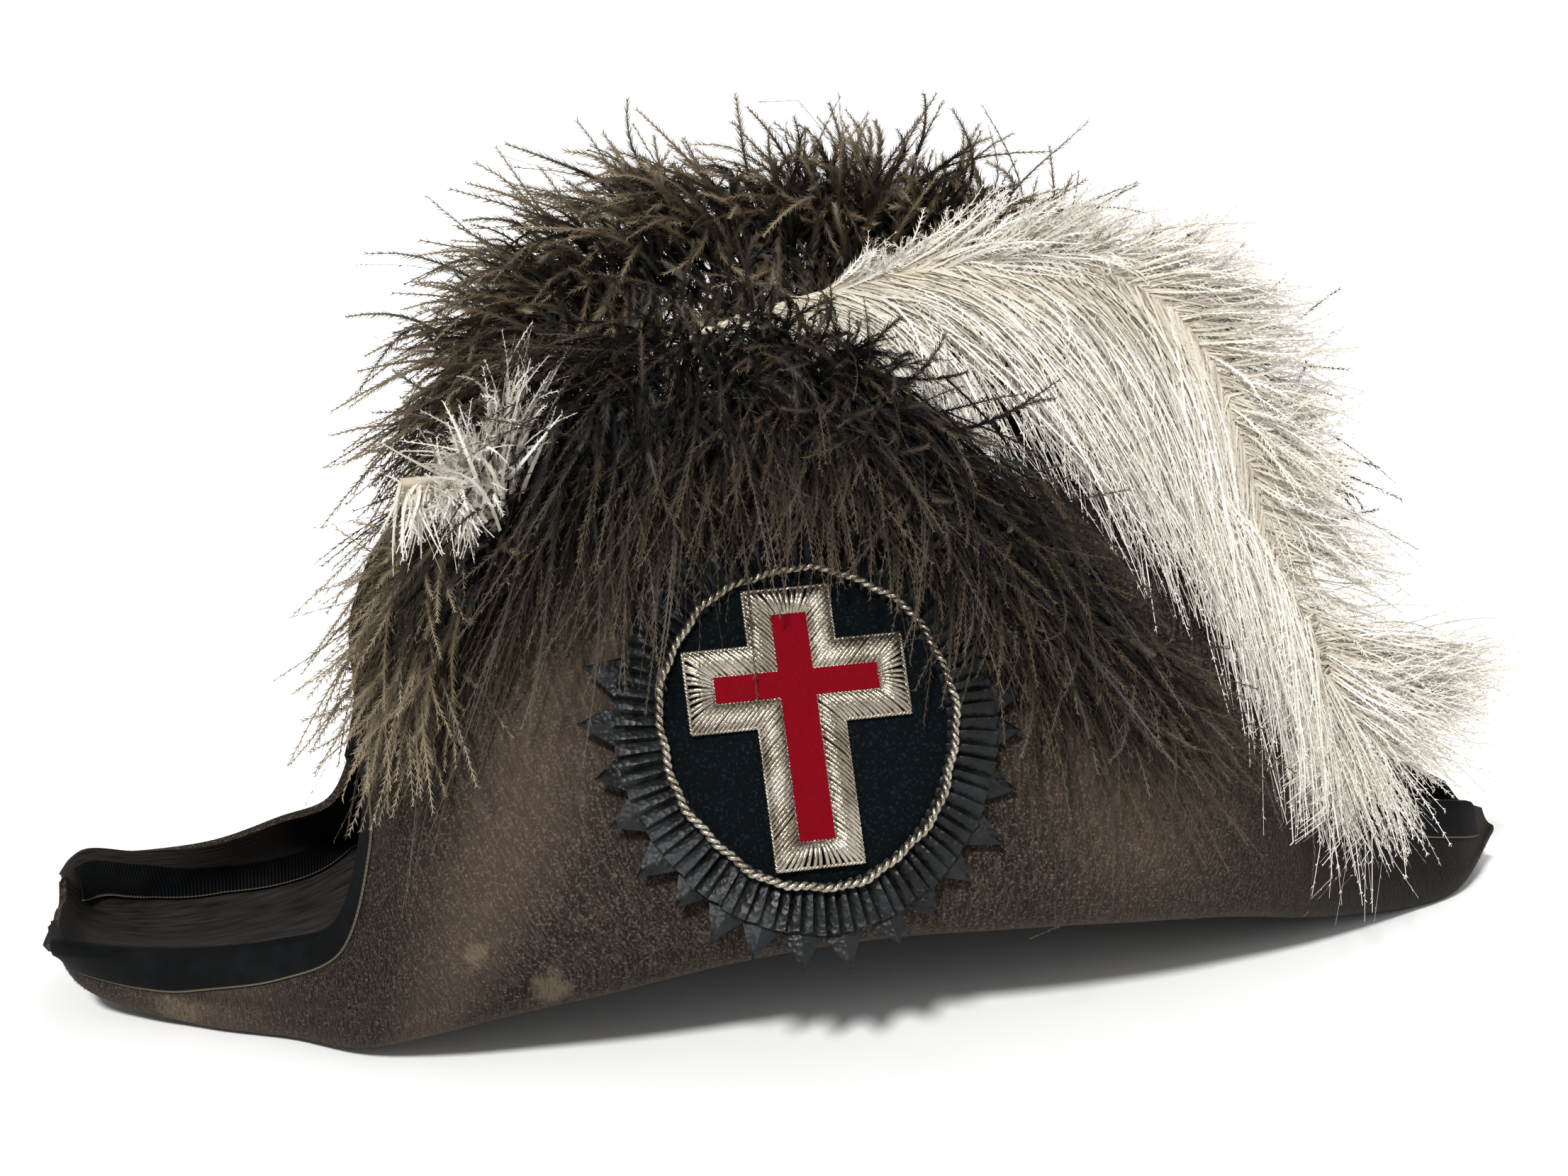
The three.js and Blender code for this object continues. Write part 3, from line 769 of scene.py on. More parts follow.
@dataclass(frozen=True)
class SilkVelvet(Finish):
    """Silk velvet: a black pile that takes the light only at a glance, with a little dust."""

    pile: str = "020507"
    dust: str = "1a252b"
    sheen: str = "35505c"
    # Real tufts are too fine to show.
    tuft: float = 0.8

    def surface(self, tree: Tree) -> Node:
        """Adds dusty specks and a sheen to the black pile.

        Args:
            tree: the material's nodes.

        Returns:
            The last shader.
        """
        place = add_node(tree, "TexCoord", {}).outputs["Object"]
        tufts = add_node(tree, "TexNoise", {"Vector": place, "Scale": 1 / (self.tuft * MM), "Detail": 2.0})
        share = add_node(tree, "MapRange", {"Value": tufts, START: 0.55, END: 0.85})
        base = add_node(tree, "Mix", {SHARE: share, FIRST: self.pile, SECOND: self.dust}, data_type="RGBA")
        bump = add_node(tree, "Bump", {"Height": tufts, "Strength": 0.3, "Distance": 0.3 * MM})
        look = {"Base Color": base, "Roughness": 0.95, "Specular IOR Level": 0.1, "Normal": bump}
        look |= {"Sheen Weight": 0.2, "Sheen Tint": self.sheen}
        return add_node(tree, "BsdfPrincipled", look)


@dataclass(frozen=True)
class BullionWire(Finish):
    """Silver-plated bullion: a tight coil of wire, tarnished to a warm grey, that twinkles turn by turn."""

    bright: str = "c0b9ab"
    tarnish: str = "867c6b"
    # Coarser than the turns of the real coil, so that it shows.
    coil: float = 0.9
    stain: float = 9.0

    def surface(self, tree: Tree) -> Node:
        """Breaks a metal's gloss with coil-sized lumps and tarnish.

        Args:
            tree: the material's nodes.

        Returns:
            The last shader.
        """
        place = add_node(tree, "TexCoord", {}).outputs["Object"]
        coils = add_node(tree, "TexNoise", {"Vector": place, "Scale": 1 / (self.coil * MM), "Detail": 1.0})
        stain = add_node(tree, "TexNoise", {"Vector": place, "Scale": 1 / (self.stain * MM), "Detail": 4.0})
        share = add_node(tree, "MapRange", {"Value": stain, START: 0.35, END: 0.7})
        colours = {SHARE: share, FIRST: self.bright, SECOND: self.tarnish}
        base = add_node(tree, "Mix", colours, data_type="RGBA")
        bump = add_node(tree, "Bump", {"Height": coils, "Strength": 0.8, "Distance": 0.3 * MM})
        look = {"Base Color": base, "Metallic": 1.0, "Roughness": 0.34, "Normal": bump}
        return add_node(tree, "BsdfPrincipled", look)


@dataclass(frozen=True)
class RedCloth(Finish):
    """Felted red broadcloth: an even, soft red with a fine pile."""

    red: str = "7a0011"
    deep: str = "5a000b"
    # Coarser than the real pile, so that it shows.
    pile: float = 0.9

    def surface(self, tree: Tree) -> Node:
        """Mottles the red by its pile.

        Args:
            tree: the material's nodes.

        Returns:
            The last shader.
        """
        place = add_node(tree, "TexCoord", {}).outputs["Object"]
        pile = add_node(tree, "TexNoise", {"Vector": place, "Scale": 1 / (self.pile * MM), "Detail": 3.0})
        base = add_node(tree, "Mix", {SHARE: pile, FIRST: self.red, SECOND: self.deep}, data_type="RGBA")
        bump = add_node(tree, "Bump", {"Height": pile, "Strength": 0.4, "Distance": 0.3 * MM})
        look = {"Base Color": base, "Roughness": 0.85, "Specular IOR Level": 0.06, "Normal": bump}
        return add_node(tree, "BsdfPrincipled", look | {"Sheen Weight": 0.04})


@dataclass(frozen=True)
class OstrichBarb(Finish):
    """Ostrich barbs: soft matt strands, each of its own tint, with painted shade at their roots and tips
    partly faded and partly painted highlight.
    """

    # The root colour is painted shade deep in the plume; the tip colour is partly fading, partly painted
    # highlight.
    root: str = "050403"
    dark: str = "0a0806"
    light: str = "211a12"
    tip: str = "5e503c"
    gloss: float = 0.22

    def surface(self, tree: Tree) -> Node:
        """Mixes the colours by each barb's tint, and along it from painted shade at the root to a partly
        painted highlight at the tip.

        Args:
            tree: the material's nodes.

        Returns:
            The last shader.
        """
        tint, along = (
            add_node(tree, "Attribute", {}, attribute_name=mark).outputs["Fac"] for mark in ("tint", "along")
        )
        past_root_shade = add_node(tree, "MapRange", {"Value": along, START: 0.1, END: 0.55})
        tip_fade_and_highlight = add_node(tree, "MapRange", {"Value": along, START: 0.6, END: 1.0, HIGH: 0.55})
        middle = add_node(tree, "Mix", {SHARE: tint, FIRST: self.dark, SECOND: self.light}, data_type="RGBA")
        base = self.root
        for share, colour in ((past_root_shade, middle), (tip_fade_and_highlight, self.tip)):
            base = add_node(tree, "Mix", {SHARE: share, FIRST: base, SECOND: colour}, data_type="RGBA")
        look = {"Base Color": base, "Roughness": 0.5, "Specular IOR Level": self.gloss, "Sheen Weight": 0.05}
        return add_node(tree, "BsdfPrincipled", look)


@dataclass(frozen=True)
class QuillHorn(Finish):
    """A quill's shaft: smooth horn with a soft gloss, and stained in places."""

    pale: str = "d9cfb8"
    stained: str = "a39374"
    stain: float = 7.0

    def surface(self, tree: Tree) -> Node:
        """Stains the horn.

        Args:
            tree: the material's nodes.

        Returns:
            The last shader.
        """
        place = add_node(tree, "TexCoord", {}).outputs["Object"]
        stain = add_node(tree, "TexNoise", {"Vector": place, "Scale": 1 / (self.stain * MM), "Detail": 3.0})
        base = add_node(tree, "Mix", {SHARE: stain, FIRST: self.pale, SECOND: self.stained}, data_type="RGBA")
        return add_node(tree, "BsdfPrincipled", {"Base Color": base, "Roughness": 0.35})


@dataclass(frozen=True)
class PaperFloor(Finish):
    """A roll of pale studio paper: matt and even, with a barely seen tooth."""

    white: str = "fdfdfc"
    shade: str = "f9f9f8"
    tooth: float = 25.0

    def surface(self, tree: Tree) -> Node:
        """Mixes two near whites.

        Args:
            tree: the material's nodes.

        Returns:
            The last shader.
        """
        place = add_node(tree, "TexCoord", {}).outputs["Object"]
        tooth = add_node(tree, "TexNoise", {"Vector": place, "Scale": 1 / (self.tooth * MM), "Detail": 2.0})
        base = add_node(tree, "Mix", {SHARE: tooth, FIRST: self.white, SECOND: self.shade}, data_type="RGBA")
        return add_node(tree, "BsdfPrincipled", {"Base Color": base, "Roughness": 0.9})


def dress(piece: Piece, finishes: Sequence[Finish], nodes: Sequence[str]) -> None:
    """Gives a piece its finishes and ties it to the part.

    Args:
        piece: the object, whose faces may already have their material numbers.
        finishes: one finish for each material number.
        nodes: the solids that the piece stands for.
    """
    numbers = np.empty(len(piece.data.polygons), np.int32)
    piece.data.polygons.foreach_get("material_index", numbers)
    piece.data.materials.clear()
    for finish in finishes:
        piece.data.materials.append(finish.material())
    piece.data.polygons.foreach_set("material_index", np.minimum(numbers, len(finishes) - 1))
    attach(piece, BODY)
    if nodes:
        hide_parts(*nodes)
    LOG.info("%s: %d faces", piece.name, len(piece.data.polygons))


FELT_FINISH = FurFelt("brushed fur felt")
INNER_FINISH = InnerFelt("pressed inner felt")
RIBBON_FINISH = GrosgrainRibbon("black grosgrain ribbon")
BAND_FINISH = GrosgrainRibbon("black grosgrain band", width=10.0)
LEATHER_FINISH = GlazedLeather("glazed pleated leather")
BULLION_FINISH = BullionWire("tarnished silver bullion")
BLACK_BARBS = OstrichBarb("black ostrich barbs")
# The crest's barbs are browned, and also painted lighter to stand in for the light on the crest.
BROWNED_AND_PAINTED_LIT_BARBS = OstrichBarb("browned ostrich barbs", dark="221b12", light="6c5d46", tip="a09075")
FADED_BARBS = OstrichBarb("faded ostrich barbs", root="15110c", dark="2c241a", light="7a6b50", tip="a8987d")
# The white barbs' darker root colour is painted shade.
WHITE_BARBS = OstrichBarb(
    "white ostrich barbs", root="cbc3b2", dark="d2ccbf", light="fbf9f4", tip="d8d2c6", gloss=0.4
)
PALE_HORN = QuillHorn("pale quill horn")
DARK_HORN = QuillHorn("dark quill horn", pale="4a3c2c", stained="2a2119")


# The hat

@dataclass
class FeltSheet:
    """The felt sheet of the brim: its middle surface, and places on its two leaves."""

    fold_radius: float = 12.0
    fold_radius_share: float = 0.28
    floor_rise: float = 8.0
    wide_floor: float = 80.0
    rise_share: float = 0.78
    floor_sink: float = 0.6
    leaf_bulge: float = 0.15
    floor_end: float = 0.3
    fold_end: float = 0.45
    dent: float = 0.9
    long_dent: Pair = (27.0, 19.0)
    short_dent: Pair = (13.0, -23.0)
    short_share: float = 0.6
    low_leaf: float = 45.0
    probe: float = 1e-3
    leaf_samples: int = 60

    def __post_init__(self) -> None:
        """Lays curves along the fold and the two edges."""
        t = columns_of(SECTION_COLUMNS, SECTION_ROWS)
        self.fold_curve = Spline(np.column_stack([t["foldX"], t["foldY"], t["foldZ"]]))
        lifts = {Side.NEAR: 0, Side.FAR: t["farLift"]}
        self.edge_curves = {
            side: Spline(np.column_stack([t["edgeX"], t["edgeY"], t["edgeZ"] + lift]))
            for side, lift in lifts.items()
        }

    def half(self, share: Array, side: Side, out: Array) -> Array:
        """Gives places on one half of the sheet.

        Args:
            share: the way from the front tip to the back.
            side: which half.
            out: the way from the middle line, at 0, to the leaf's edge, at 1.

        Returns:
            Places in the hat's frame.
        """
        fold = self.fold_curve.at(share)
        edge = self.edge_curves[side].at(share)
        x, y, z = fold.T
        radius = np.minimum(self.fold_radius, self.fold_radius_share * y)
        rise = self.floor_rise * np.minimum(1, y / self.wide_floor)
        flat = y - radius
        bottom = z + FELT / 2 - self.floor_sink
        top = bottom + radius
        floor_y = flat * np.clip(out / self.floor_end, 0, 1)
        floor_z = bottom + rise * np.maximum(0, 1 - (floor_y / (flat * self.rise_share)) ** 2)
        turn = np.pi / 2 * np.clip((out - self.floor_end) / (self.fold_end - self.floor_end), 0, 1)
        up = np.clip((out - self.fold_end) / (1 - self.fold_end), 0, 1)
        control = top + self.leaf_bulge * (edge[:, 2] - top)
        leaf_y = lerp(y, edge[:, 1], up**2)
        leaf_z = (1 - up) ** 2 * top + 2 * up * (1 - up) * control + up**2 * edge[:, 2]
        on_floor = out < self.floor_end
        on_fold = (out >= self.floor_end) & (out < self.fold_end)
        place_x = np.where(on_floor | on_fold, x, lerp(x, edge[:, 0], up))
        place_y = np.where(on_floor, floor_y, np.where(on_fold, flat + radius * np.sin(turn), leaf_y))
        place_z = np.where(on_floor, floor_z, np.where(on_fold, bottom + radius * (1 - np.cos(turn)), leaf_z))
        return np.column_stack([place_x, side.value * place_y, place_z])

    def places(self, across: Array, share: Array) -> Array:
        """Gives places on the whole sheet, across from the near edge at 0 to the far edge at 1.

        Args:
            across: the way from the near edge to the far edge.
            share: the way from the front tip to the back.

        Returns:
            Places in the hat's frame.
        """
        out = np.abs(2 * across - 1)
        near = self.half(share, Side.NEAR, out)
        far = self.half(share, Side.FAR, out)
        return np.where((across < 0.5)[:, None], near, far)

    def outward(self, across: Array, share: Array) -> Array:
        """Gives the sheet's outward direction at places on it.

        Args:
            across: the way from the near edge to the far edge.
            share: the way from the front tip to the back.

        Returns:
            Directions of length one.
        """
        ahead, behind = np.minimum(share + self.probe, 1), np.maximum(share - self.probe, 0)
        right, left = np.minimum(across + self.probe, 1), np.maximum(across - self.probe, 0)
        along = self.places(across, ahead) - self.places(across, behind)
        over = self.places(right, share) - self.places(left, share)
        return unit(np.cross(over, along))

    def dented(self, across: Array, share: Array) -> Array:
        """Gives places with the soft dents of a hand-shaped felt, away from the edges and the fold.

        Args:
            across: the way from the near edge to the far edge.
            share: the way from the front tip to the back.

        Returns:
            Places in the hat's frame.
        """
        place = self.places(across, share)
        up = np.clip((np.abs(2 * across - 1) - self.fold_end) / (1 - self.fold_end), 0, 1)
        height = self.edge_curves[Side.NEAR].at(share)[:, 2] - self.fold_curve.at(share)[:, 2]
        inside = np.sin(np.pi * up) * np.clip((height - self.low_leaf) / self.low_leaf, 0, 1)
        long, short = (place[:, 0] / x + place[:, 2] / z for x, z in (self.long_dent, self.short_dent))
        wave = np.sin(long) + self.short_share * np.sin(short + 1)
        return place + self.outward(across, share) * (self.dent * inside * wave)[:, None]

    def on_leaf(self, share: Array, side: Side, down: Array, out: Array) -> Array:
        """Gives places beside a leaf's edge.

        Args:
            share: the way from the front tip to the back.
            side: which leaf.
            down: distances down from the edge, less than zero past it.
            out: distances out from the middle of the felt.

        Returns:
            Places in the hat's frame.
        """
        ways = np.linspace(1, self.floor_end, self.leaf_samples)
        result = np.empty((len(share), 3))
        for value in np.unique(share):
            rows = np.where(share == value)[0]
            line = self.half(np.full(len(ways), value), side, ways)
            run = run_of(line)
            way = np.interp(np.maximum(down[rows], 0), run, ways)
            across = 0.5 + side.value * way / 2
            at = np.full(len(rows), value)
            past = np.minimum(down[rows], 0)[:, None] * unit(line[1] - line[0])
            result[rows] = self.half(at, side, way) + past + out[rows, None] * self.outward(across, at)
        return result


@dataclass
class FeltBody:
    """The felt of the hat: the brim with its leaves, the crown, and the nap on them."""

    sheet: FeltSheet
    across: int = 78
    along: int = 160
    crown_segments: int = 72
    crown_rings: int = 48
    crown_roundness: float = 2.3
    flat_size: Pair = (300.0, 440.0)
    opening_sides: int = 128
    opening_depth: float = 100.0
    hairs: int = 46000
    hair_length: float = 2.8
    hair_lengths: Pair = (0.5, 1.2)
    # Wider than a real hair, so that it shows.
    hair_width: float = 0.16
    hair_sway: float = 0.25
    hair_lift: Pair = (0.03, 0.2)
    hair_tint: Pair = (0.35, 0.25)
    nap_along: Pair = (0.02, 0.98)
    nap_up: Pair = (0.2, 0.93)
    dark_from: float = 100.0
    dark_over: float = 60.0
    darkest: float = 0.05
    lowest_root: float = 0.1
    lowest_tip: float = 0.2
    seed: int = 11

    def brim(self) -> None:
        """Shapes the brim, gives it its thickness and cuts out the head opening."""
        piece = grid_sheet("felt_brim", self.across, self.along, self.sheet.dented, self.flat_size)
        piece.data.materials.append(FELT_FINISH.material())
        piece.data.materials.append(INNER_FINISH.material())
        wall = {"thickness": FELT * MM, "offset": 0.0, "use_quality_normals": True, "material_offset": 1}
        finish_with(piece, "SOLIDIFY", **wall)
        cutter = primitive("opening", "cylinder", vertices=self.opening_sides, radius=1, depth=1)
        oval = coordinates(cutter) * [HEAD_LENGTH / 2 - FELT, HEAD_WIDTH / 2 - FELT, self.opening_depth]
        put_coordinates(cutter, in_part(oval))
        finish_with(piece, "BOOLEAN", operation="DIFFERENCE", object=cutter, solver="EXACT")
        bpy.data.objects.remove(cutter)
        resting = coordinates(piece)
        resting[:, 2] = np.maximum(resting[:, 2], 0)
        put_coordinates(piece, resting)
        smooth(piece, 50)
        dress(piece, (FELT_FINISH, INNER_FINISH), ("brim",))

    def crown(self) -> None:
        """Presses the upper half of a ball into the crown's form."""
        rings = {"segments": self.crown_segments, "ring_count": self.crown_rings}
        piece = primitive("felt_crown", "uv_sphere", radius=1, **rings)
        bpy.ops.object.mode_set(mode="EDIT")
        bpy.ops.mesh.select_all(action="SELECT")
        bpy.ops.mesh.bisect(plane_co=(0, 0, 0), plane_no=(0, 0, -1), clear_outer=True)
        bpy.ops.object.mode_set(mode="OBJECT")
        ball = coordinates(piece)
        level = np.linalg.norm(ball[:, :2], axis=1)
        power = 2 / self.crown_roundness
        wider = np.maximum(level, 1e-6) ** power / np.maximum(level, 1e-6)
        x = ball[:, 0] * wider * (HEAD_LENGTH - FELT) / 2
        y = ball[:, 1] * wider * (HEAD_WIDTH - FELT) / 2
        foot = self.floor(x, y) + FELT / 2 + GAP
        z = lerp(foot, CROWN_TOP - FELT / 2, np.maximum(ball[:, 2], 0) ** power)
        put_coordinates(piece, in_part(np.column_stack([x, y, z])))
        finish_with(piece, "SOLIDIFY", thickness=(FELT - GAP) * MM, offset=0.0)
        smooth(piece, 60)
        dress(piece, (INNER_FINISH,), ("crown_near", "crown_far"))

    def floor(self, x: Array, y: Array) -> Array:
        """Gives the height of the brim's floor under places in the hat's frame.

        Args:
            x: how far back each place is.
            y: how far to the side it is.

        Returns:
            Heights in millimetres.
        """
        shares = np.linspace(0, 1, 400)
        at = np.interp(x, self.sheet.fold_curve.at(shares)[:, 0], shares)
        ways = np.linspace(0, self.sheet.floor_end, 24)
        rows = np.stack([self.sheet.half(at, Side.FAR, np.full(len(at), way)) for way in ways])
        return np.array([np.interp(abs(y[i]), rows[:, i, 1], rows[:, i, 2]) for i in range(len(at))])

    def nap(self) -> None:
        """Lays short hairs down the outer faces of the leaves and the peaks."""
        rng = np.random.default_rng(self.seed)
        share = rng.uniform(*self.nap_along, self.hairs)
        way = rng.uniform(*self.nap_up, self.hairs)
        side = rng.choice([-1, 1], self.hairs)
        across = 0.5 + side * way / 2
        root = self.sheet.dented(across, share)
        out = self.sheet.outward(across, share)
        below = self.sheet.places(0.5 + side * (way - 0.02) / 2, share)
        down = unit(below - self.sheet.places(across, share))
        lean = rng.normal(0, self.hair_sway, (self.hairs, 1))
        beside = np.cross(out, down)
        way_down = unit(down + lean * beside + rng.uniform(*self.hair_lift, (self.hairs, 1)) * out)
        length = self.hair_length * rng.uniform(*self.hair_lengths, (self.hairs, 1))
        foot = root + out * FELT / 2
        half = beside * self.hair_width / 2
        tip = foot + way_down * length
        tip[:, 2] = np.maximum(tip[:, 2], self.lowest_tip)
        places = np.stack([foot - half, foot + half, tip], axis=1).reshape(-1, 3)
        places[:, 2] = np.maximum(places[:, 2], self.lowest_root)
        triangles = np.arange(3 * self.hairs).reshape(-1, 3)
        # The tint lightens each hair towards its tip as painted highlight, less towards the unfaded rear.
        tint = np.clip(rng.normal(*self.hair_tint, (self.hairs, 1)), 0, 1) * np.array([[0.5, 0.5, 1.0]])
        dark = np.clip(1 - (root[:, :1] - self.dark_from) / self.dark_over, self.darkest, 1)
        piece = triangle_mesh("felt_nap", places, triangles, {"tint": (tint * dark).ravel()})
        dress(piece, (NapHair("rabbit nap hairs"),), ())


@dataclass
class RibbonTrim:
    """Grosgrain ribbon: a binding over each leaf's edge, and a band inside each wall of the front peak."""

    sheet: FeltSheet
    thickness: float = 0.6
    outside: float = 9.5
    inside: float = 3.0
    band_width: float = 10.0
    along: int = 180
    start: float = 1 / 36
    far_start: float = 11 / 36
    end: float = 35 / 36
    across: int = 13
    length: float = 620.0
    fold_steps: int = 7
    fold_height: float = 0.8
    face_start: float = 2.0
    face_steps: int = 5
    band_across: int = 6
    band_along: int = 90
    band_length: float = 130.0

    def binding(self, side: Side) -> None:
        """Folds a ribbon over one leaf's edge.

        Args:
            side: which leaf.
        """
        skin = FELT / 2 + GAP + self.thickness / 2
        over = np.linspace(0, np.pi, self.fold_steps)
        path = np.array(
            [[self.inside, -skin]]
            + [[-skin * self.fold_height * math.sin(a), -skin * math.cos(a)] for a in over]
            + [[d, skin] for d in np.linspace(self.face_start, self.outside, self.face_steps)]
        )
        run = run_of(path)
        low = run[-1] - self.outside

        def place(across: Array, along: Array) -> Array:
            """Follows the path over the edge.

            Args:
                across: shares of the width.
                along: shares of the length.

            Returns:
                Places in the hat's frame.
            """
            at = across if side is Side.FAR else 1 - across
            down = np.interp(at * run[-1], run, path[:, 0])
            out = np.interp(at * run[-1], run, path[:, 1])
            start = self.far_start if side is Side.FAR else self.start
            return self.sheet.on_leaf(lerp(start, self.end, along), side, down, out)

        size = (run[-1], self.length)
        piece = grid_sheet(f"leaf_ribbon_{side.name.lower()}", self.across, self.along, place, size)
        self.map_width(piece, run[-1], low, side is Side.NEAR)
        finish_with(piece, "SOLIDIFY", thickness=self.thickness * MM, offset=0.0)
        smooth(piece)
        dress(piece, (RIBBON_FINISH,), (f"leaf_binding_{side.name.lower()}",))

    def band(self, side: Side) -> None:
        """Lays a band along the inner face of one wall of the front peak.

        Args:
            side: which wall.
        """
        drops = np.array(BAND_DROPS, float)
        last = (len(drops) - 1.5) / (len(SECTION_ROWS) - 1)
        skin = FELT / 2 + GAP + self.thickness / 2

        def place(across: Array, along: Array) -> Array:
            """Follows the band's drops below the edge.

            Args:
                across: shares of the width.
                along: shares of the length.

            Returns:
                Places in the hat's frame.
            """
            share = lerp(self.start, last, along)
            start = np.interp(share * (len(SECTION_ROWS) - 1), np.arange(len(drops)), drops)
            at = across if side is Side.NEAR else 1 - across
            down = start + self.band_width * (1 - at)
            return self.sheet.on_leaf(share, side, down, np.full(len(share), -skin))

        size = (self.band_width, self.band_length)
        piece = grid_sheet(f"peak_ribbon_{side.name.lower()}", self.band_across, self.band_along, place, size)
        self.map_width(piece, self.band_width, 0, side is Side.NEAR)
        finish_with(piece, "SOLIDIFY", thickness=self.thickness * MM, offset=0.0)
        smooth(piece)
        dress(piece, (BAND_FINISH,), (f"front_ribbon_{side.name.lower()}",))

    def map_width(self, piece: Piece, width: float, low: float, turned: bool) -> None:
        """Sets the map's first axis to the distance down the ribbon's outer face, in metres.

        Args:
            piece: the ribbon, before it has a thickness.
            width: the ribbon's width in millimetres.
            low: how much of the width comes before the outer face.
            turned: whether the map runs the other way.
        """
        layer = piece.data.uv_layers.active.data
        flat = np.empty(2 * len(layer))
        layer.foreach_get("uv", flat)
        uv = flat.reshape(-1, 2)
        uv[:, 0] = (width * MM - uv[:, 0] if turned else uv[:, 0]) - low * MM
        layer.foreach_set("uv", uv.ravel())


@dataclass
class BadgeFrame:
    """The rosette's and badge's own frame: x along the hat, y up the leaf, z out of it."""

    place: Point = (-14.0, -80.6, 83.0)
    lean: float = 27.0
    half_width: float = 36.2
    half_height: float = 39.4
    taper: float = 0.06

    def axes(self) -> Array:
        """Gives the badge's three axes in the hat's frame, as columns.

        Returns:
            One axis in each column.
        """
        turn = math.radians(90 - self.lean)
        c, s = math.cos(turn), math.sin(turn)
        return np.array([[1, 0, 0], [0, c, -s], [0, s, c]])

    def to_hat(self, points: Array) -> Array:
        """Takes places in the badge's frame to the hat's."""
        return np.asarray(points, float) @ self.axes().T + self.place

    def from_hat(self, points: Array) -> Array:
        """Takes places in the hat's frame to the badge's."""
        return (np.asarray(points, float) - self.place) @ self.axes()

    def outward(self) -> Array:
        """Gives the direction out of the badge in the hat's frame."""
        return self.axes()[:, 2]

    def egg(self, turn: Array, grow: Array | float) -> Array:
        """Gives places on the badge's egg-shaped outline, grown outwards.

        Args:
            turn: angles around the badge.
            grow: how far the outline grows, in millimetres.

        Returns:
            Flat places in the badge's frame.
        """
        narrowing = 1 + self.taper * np.sin(turn)
        x = (self.half_width * narrowing + grow) * np.cos(turn)
        y = (self.half_height + grow) * np.sin(turn)
        return np.column_stack([x, y])


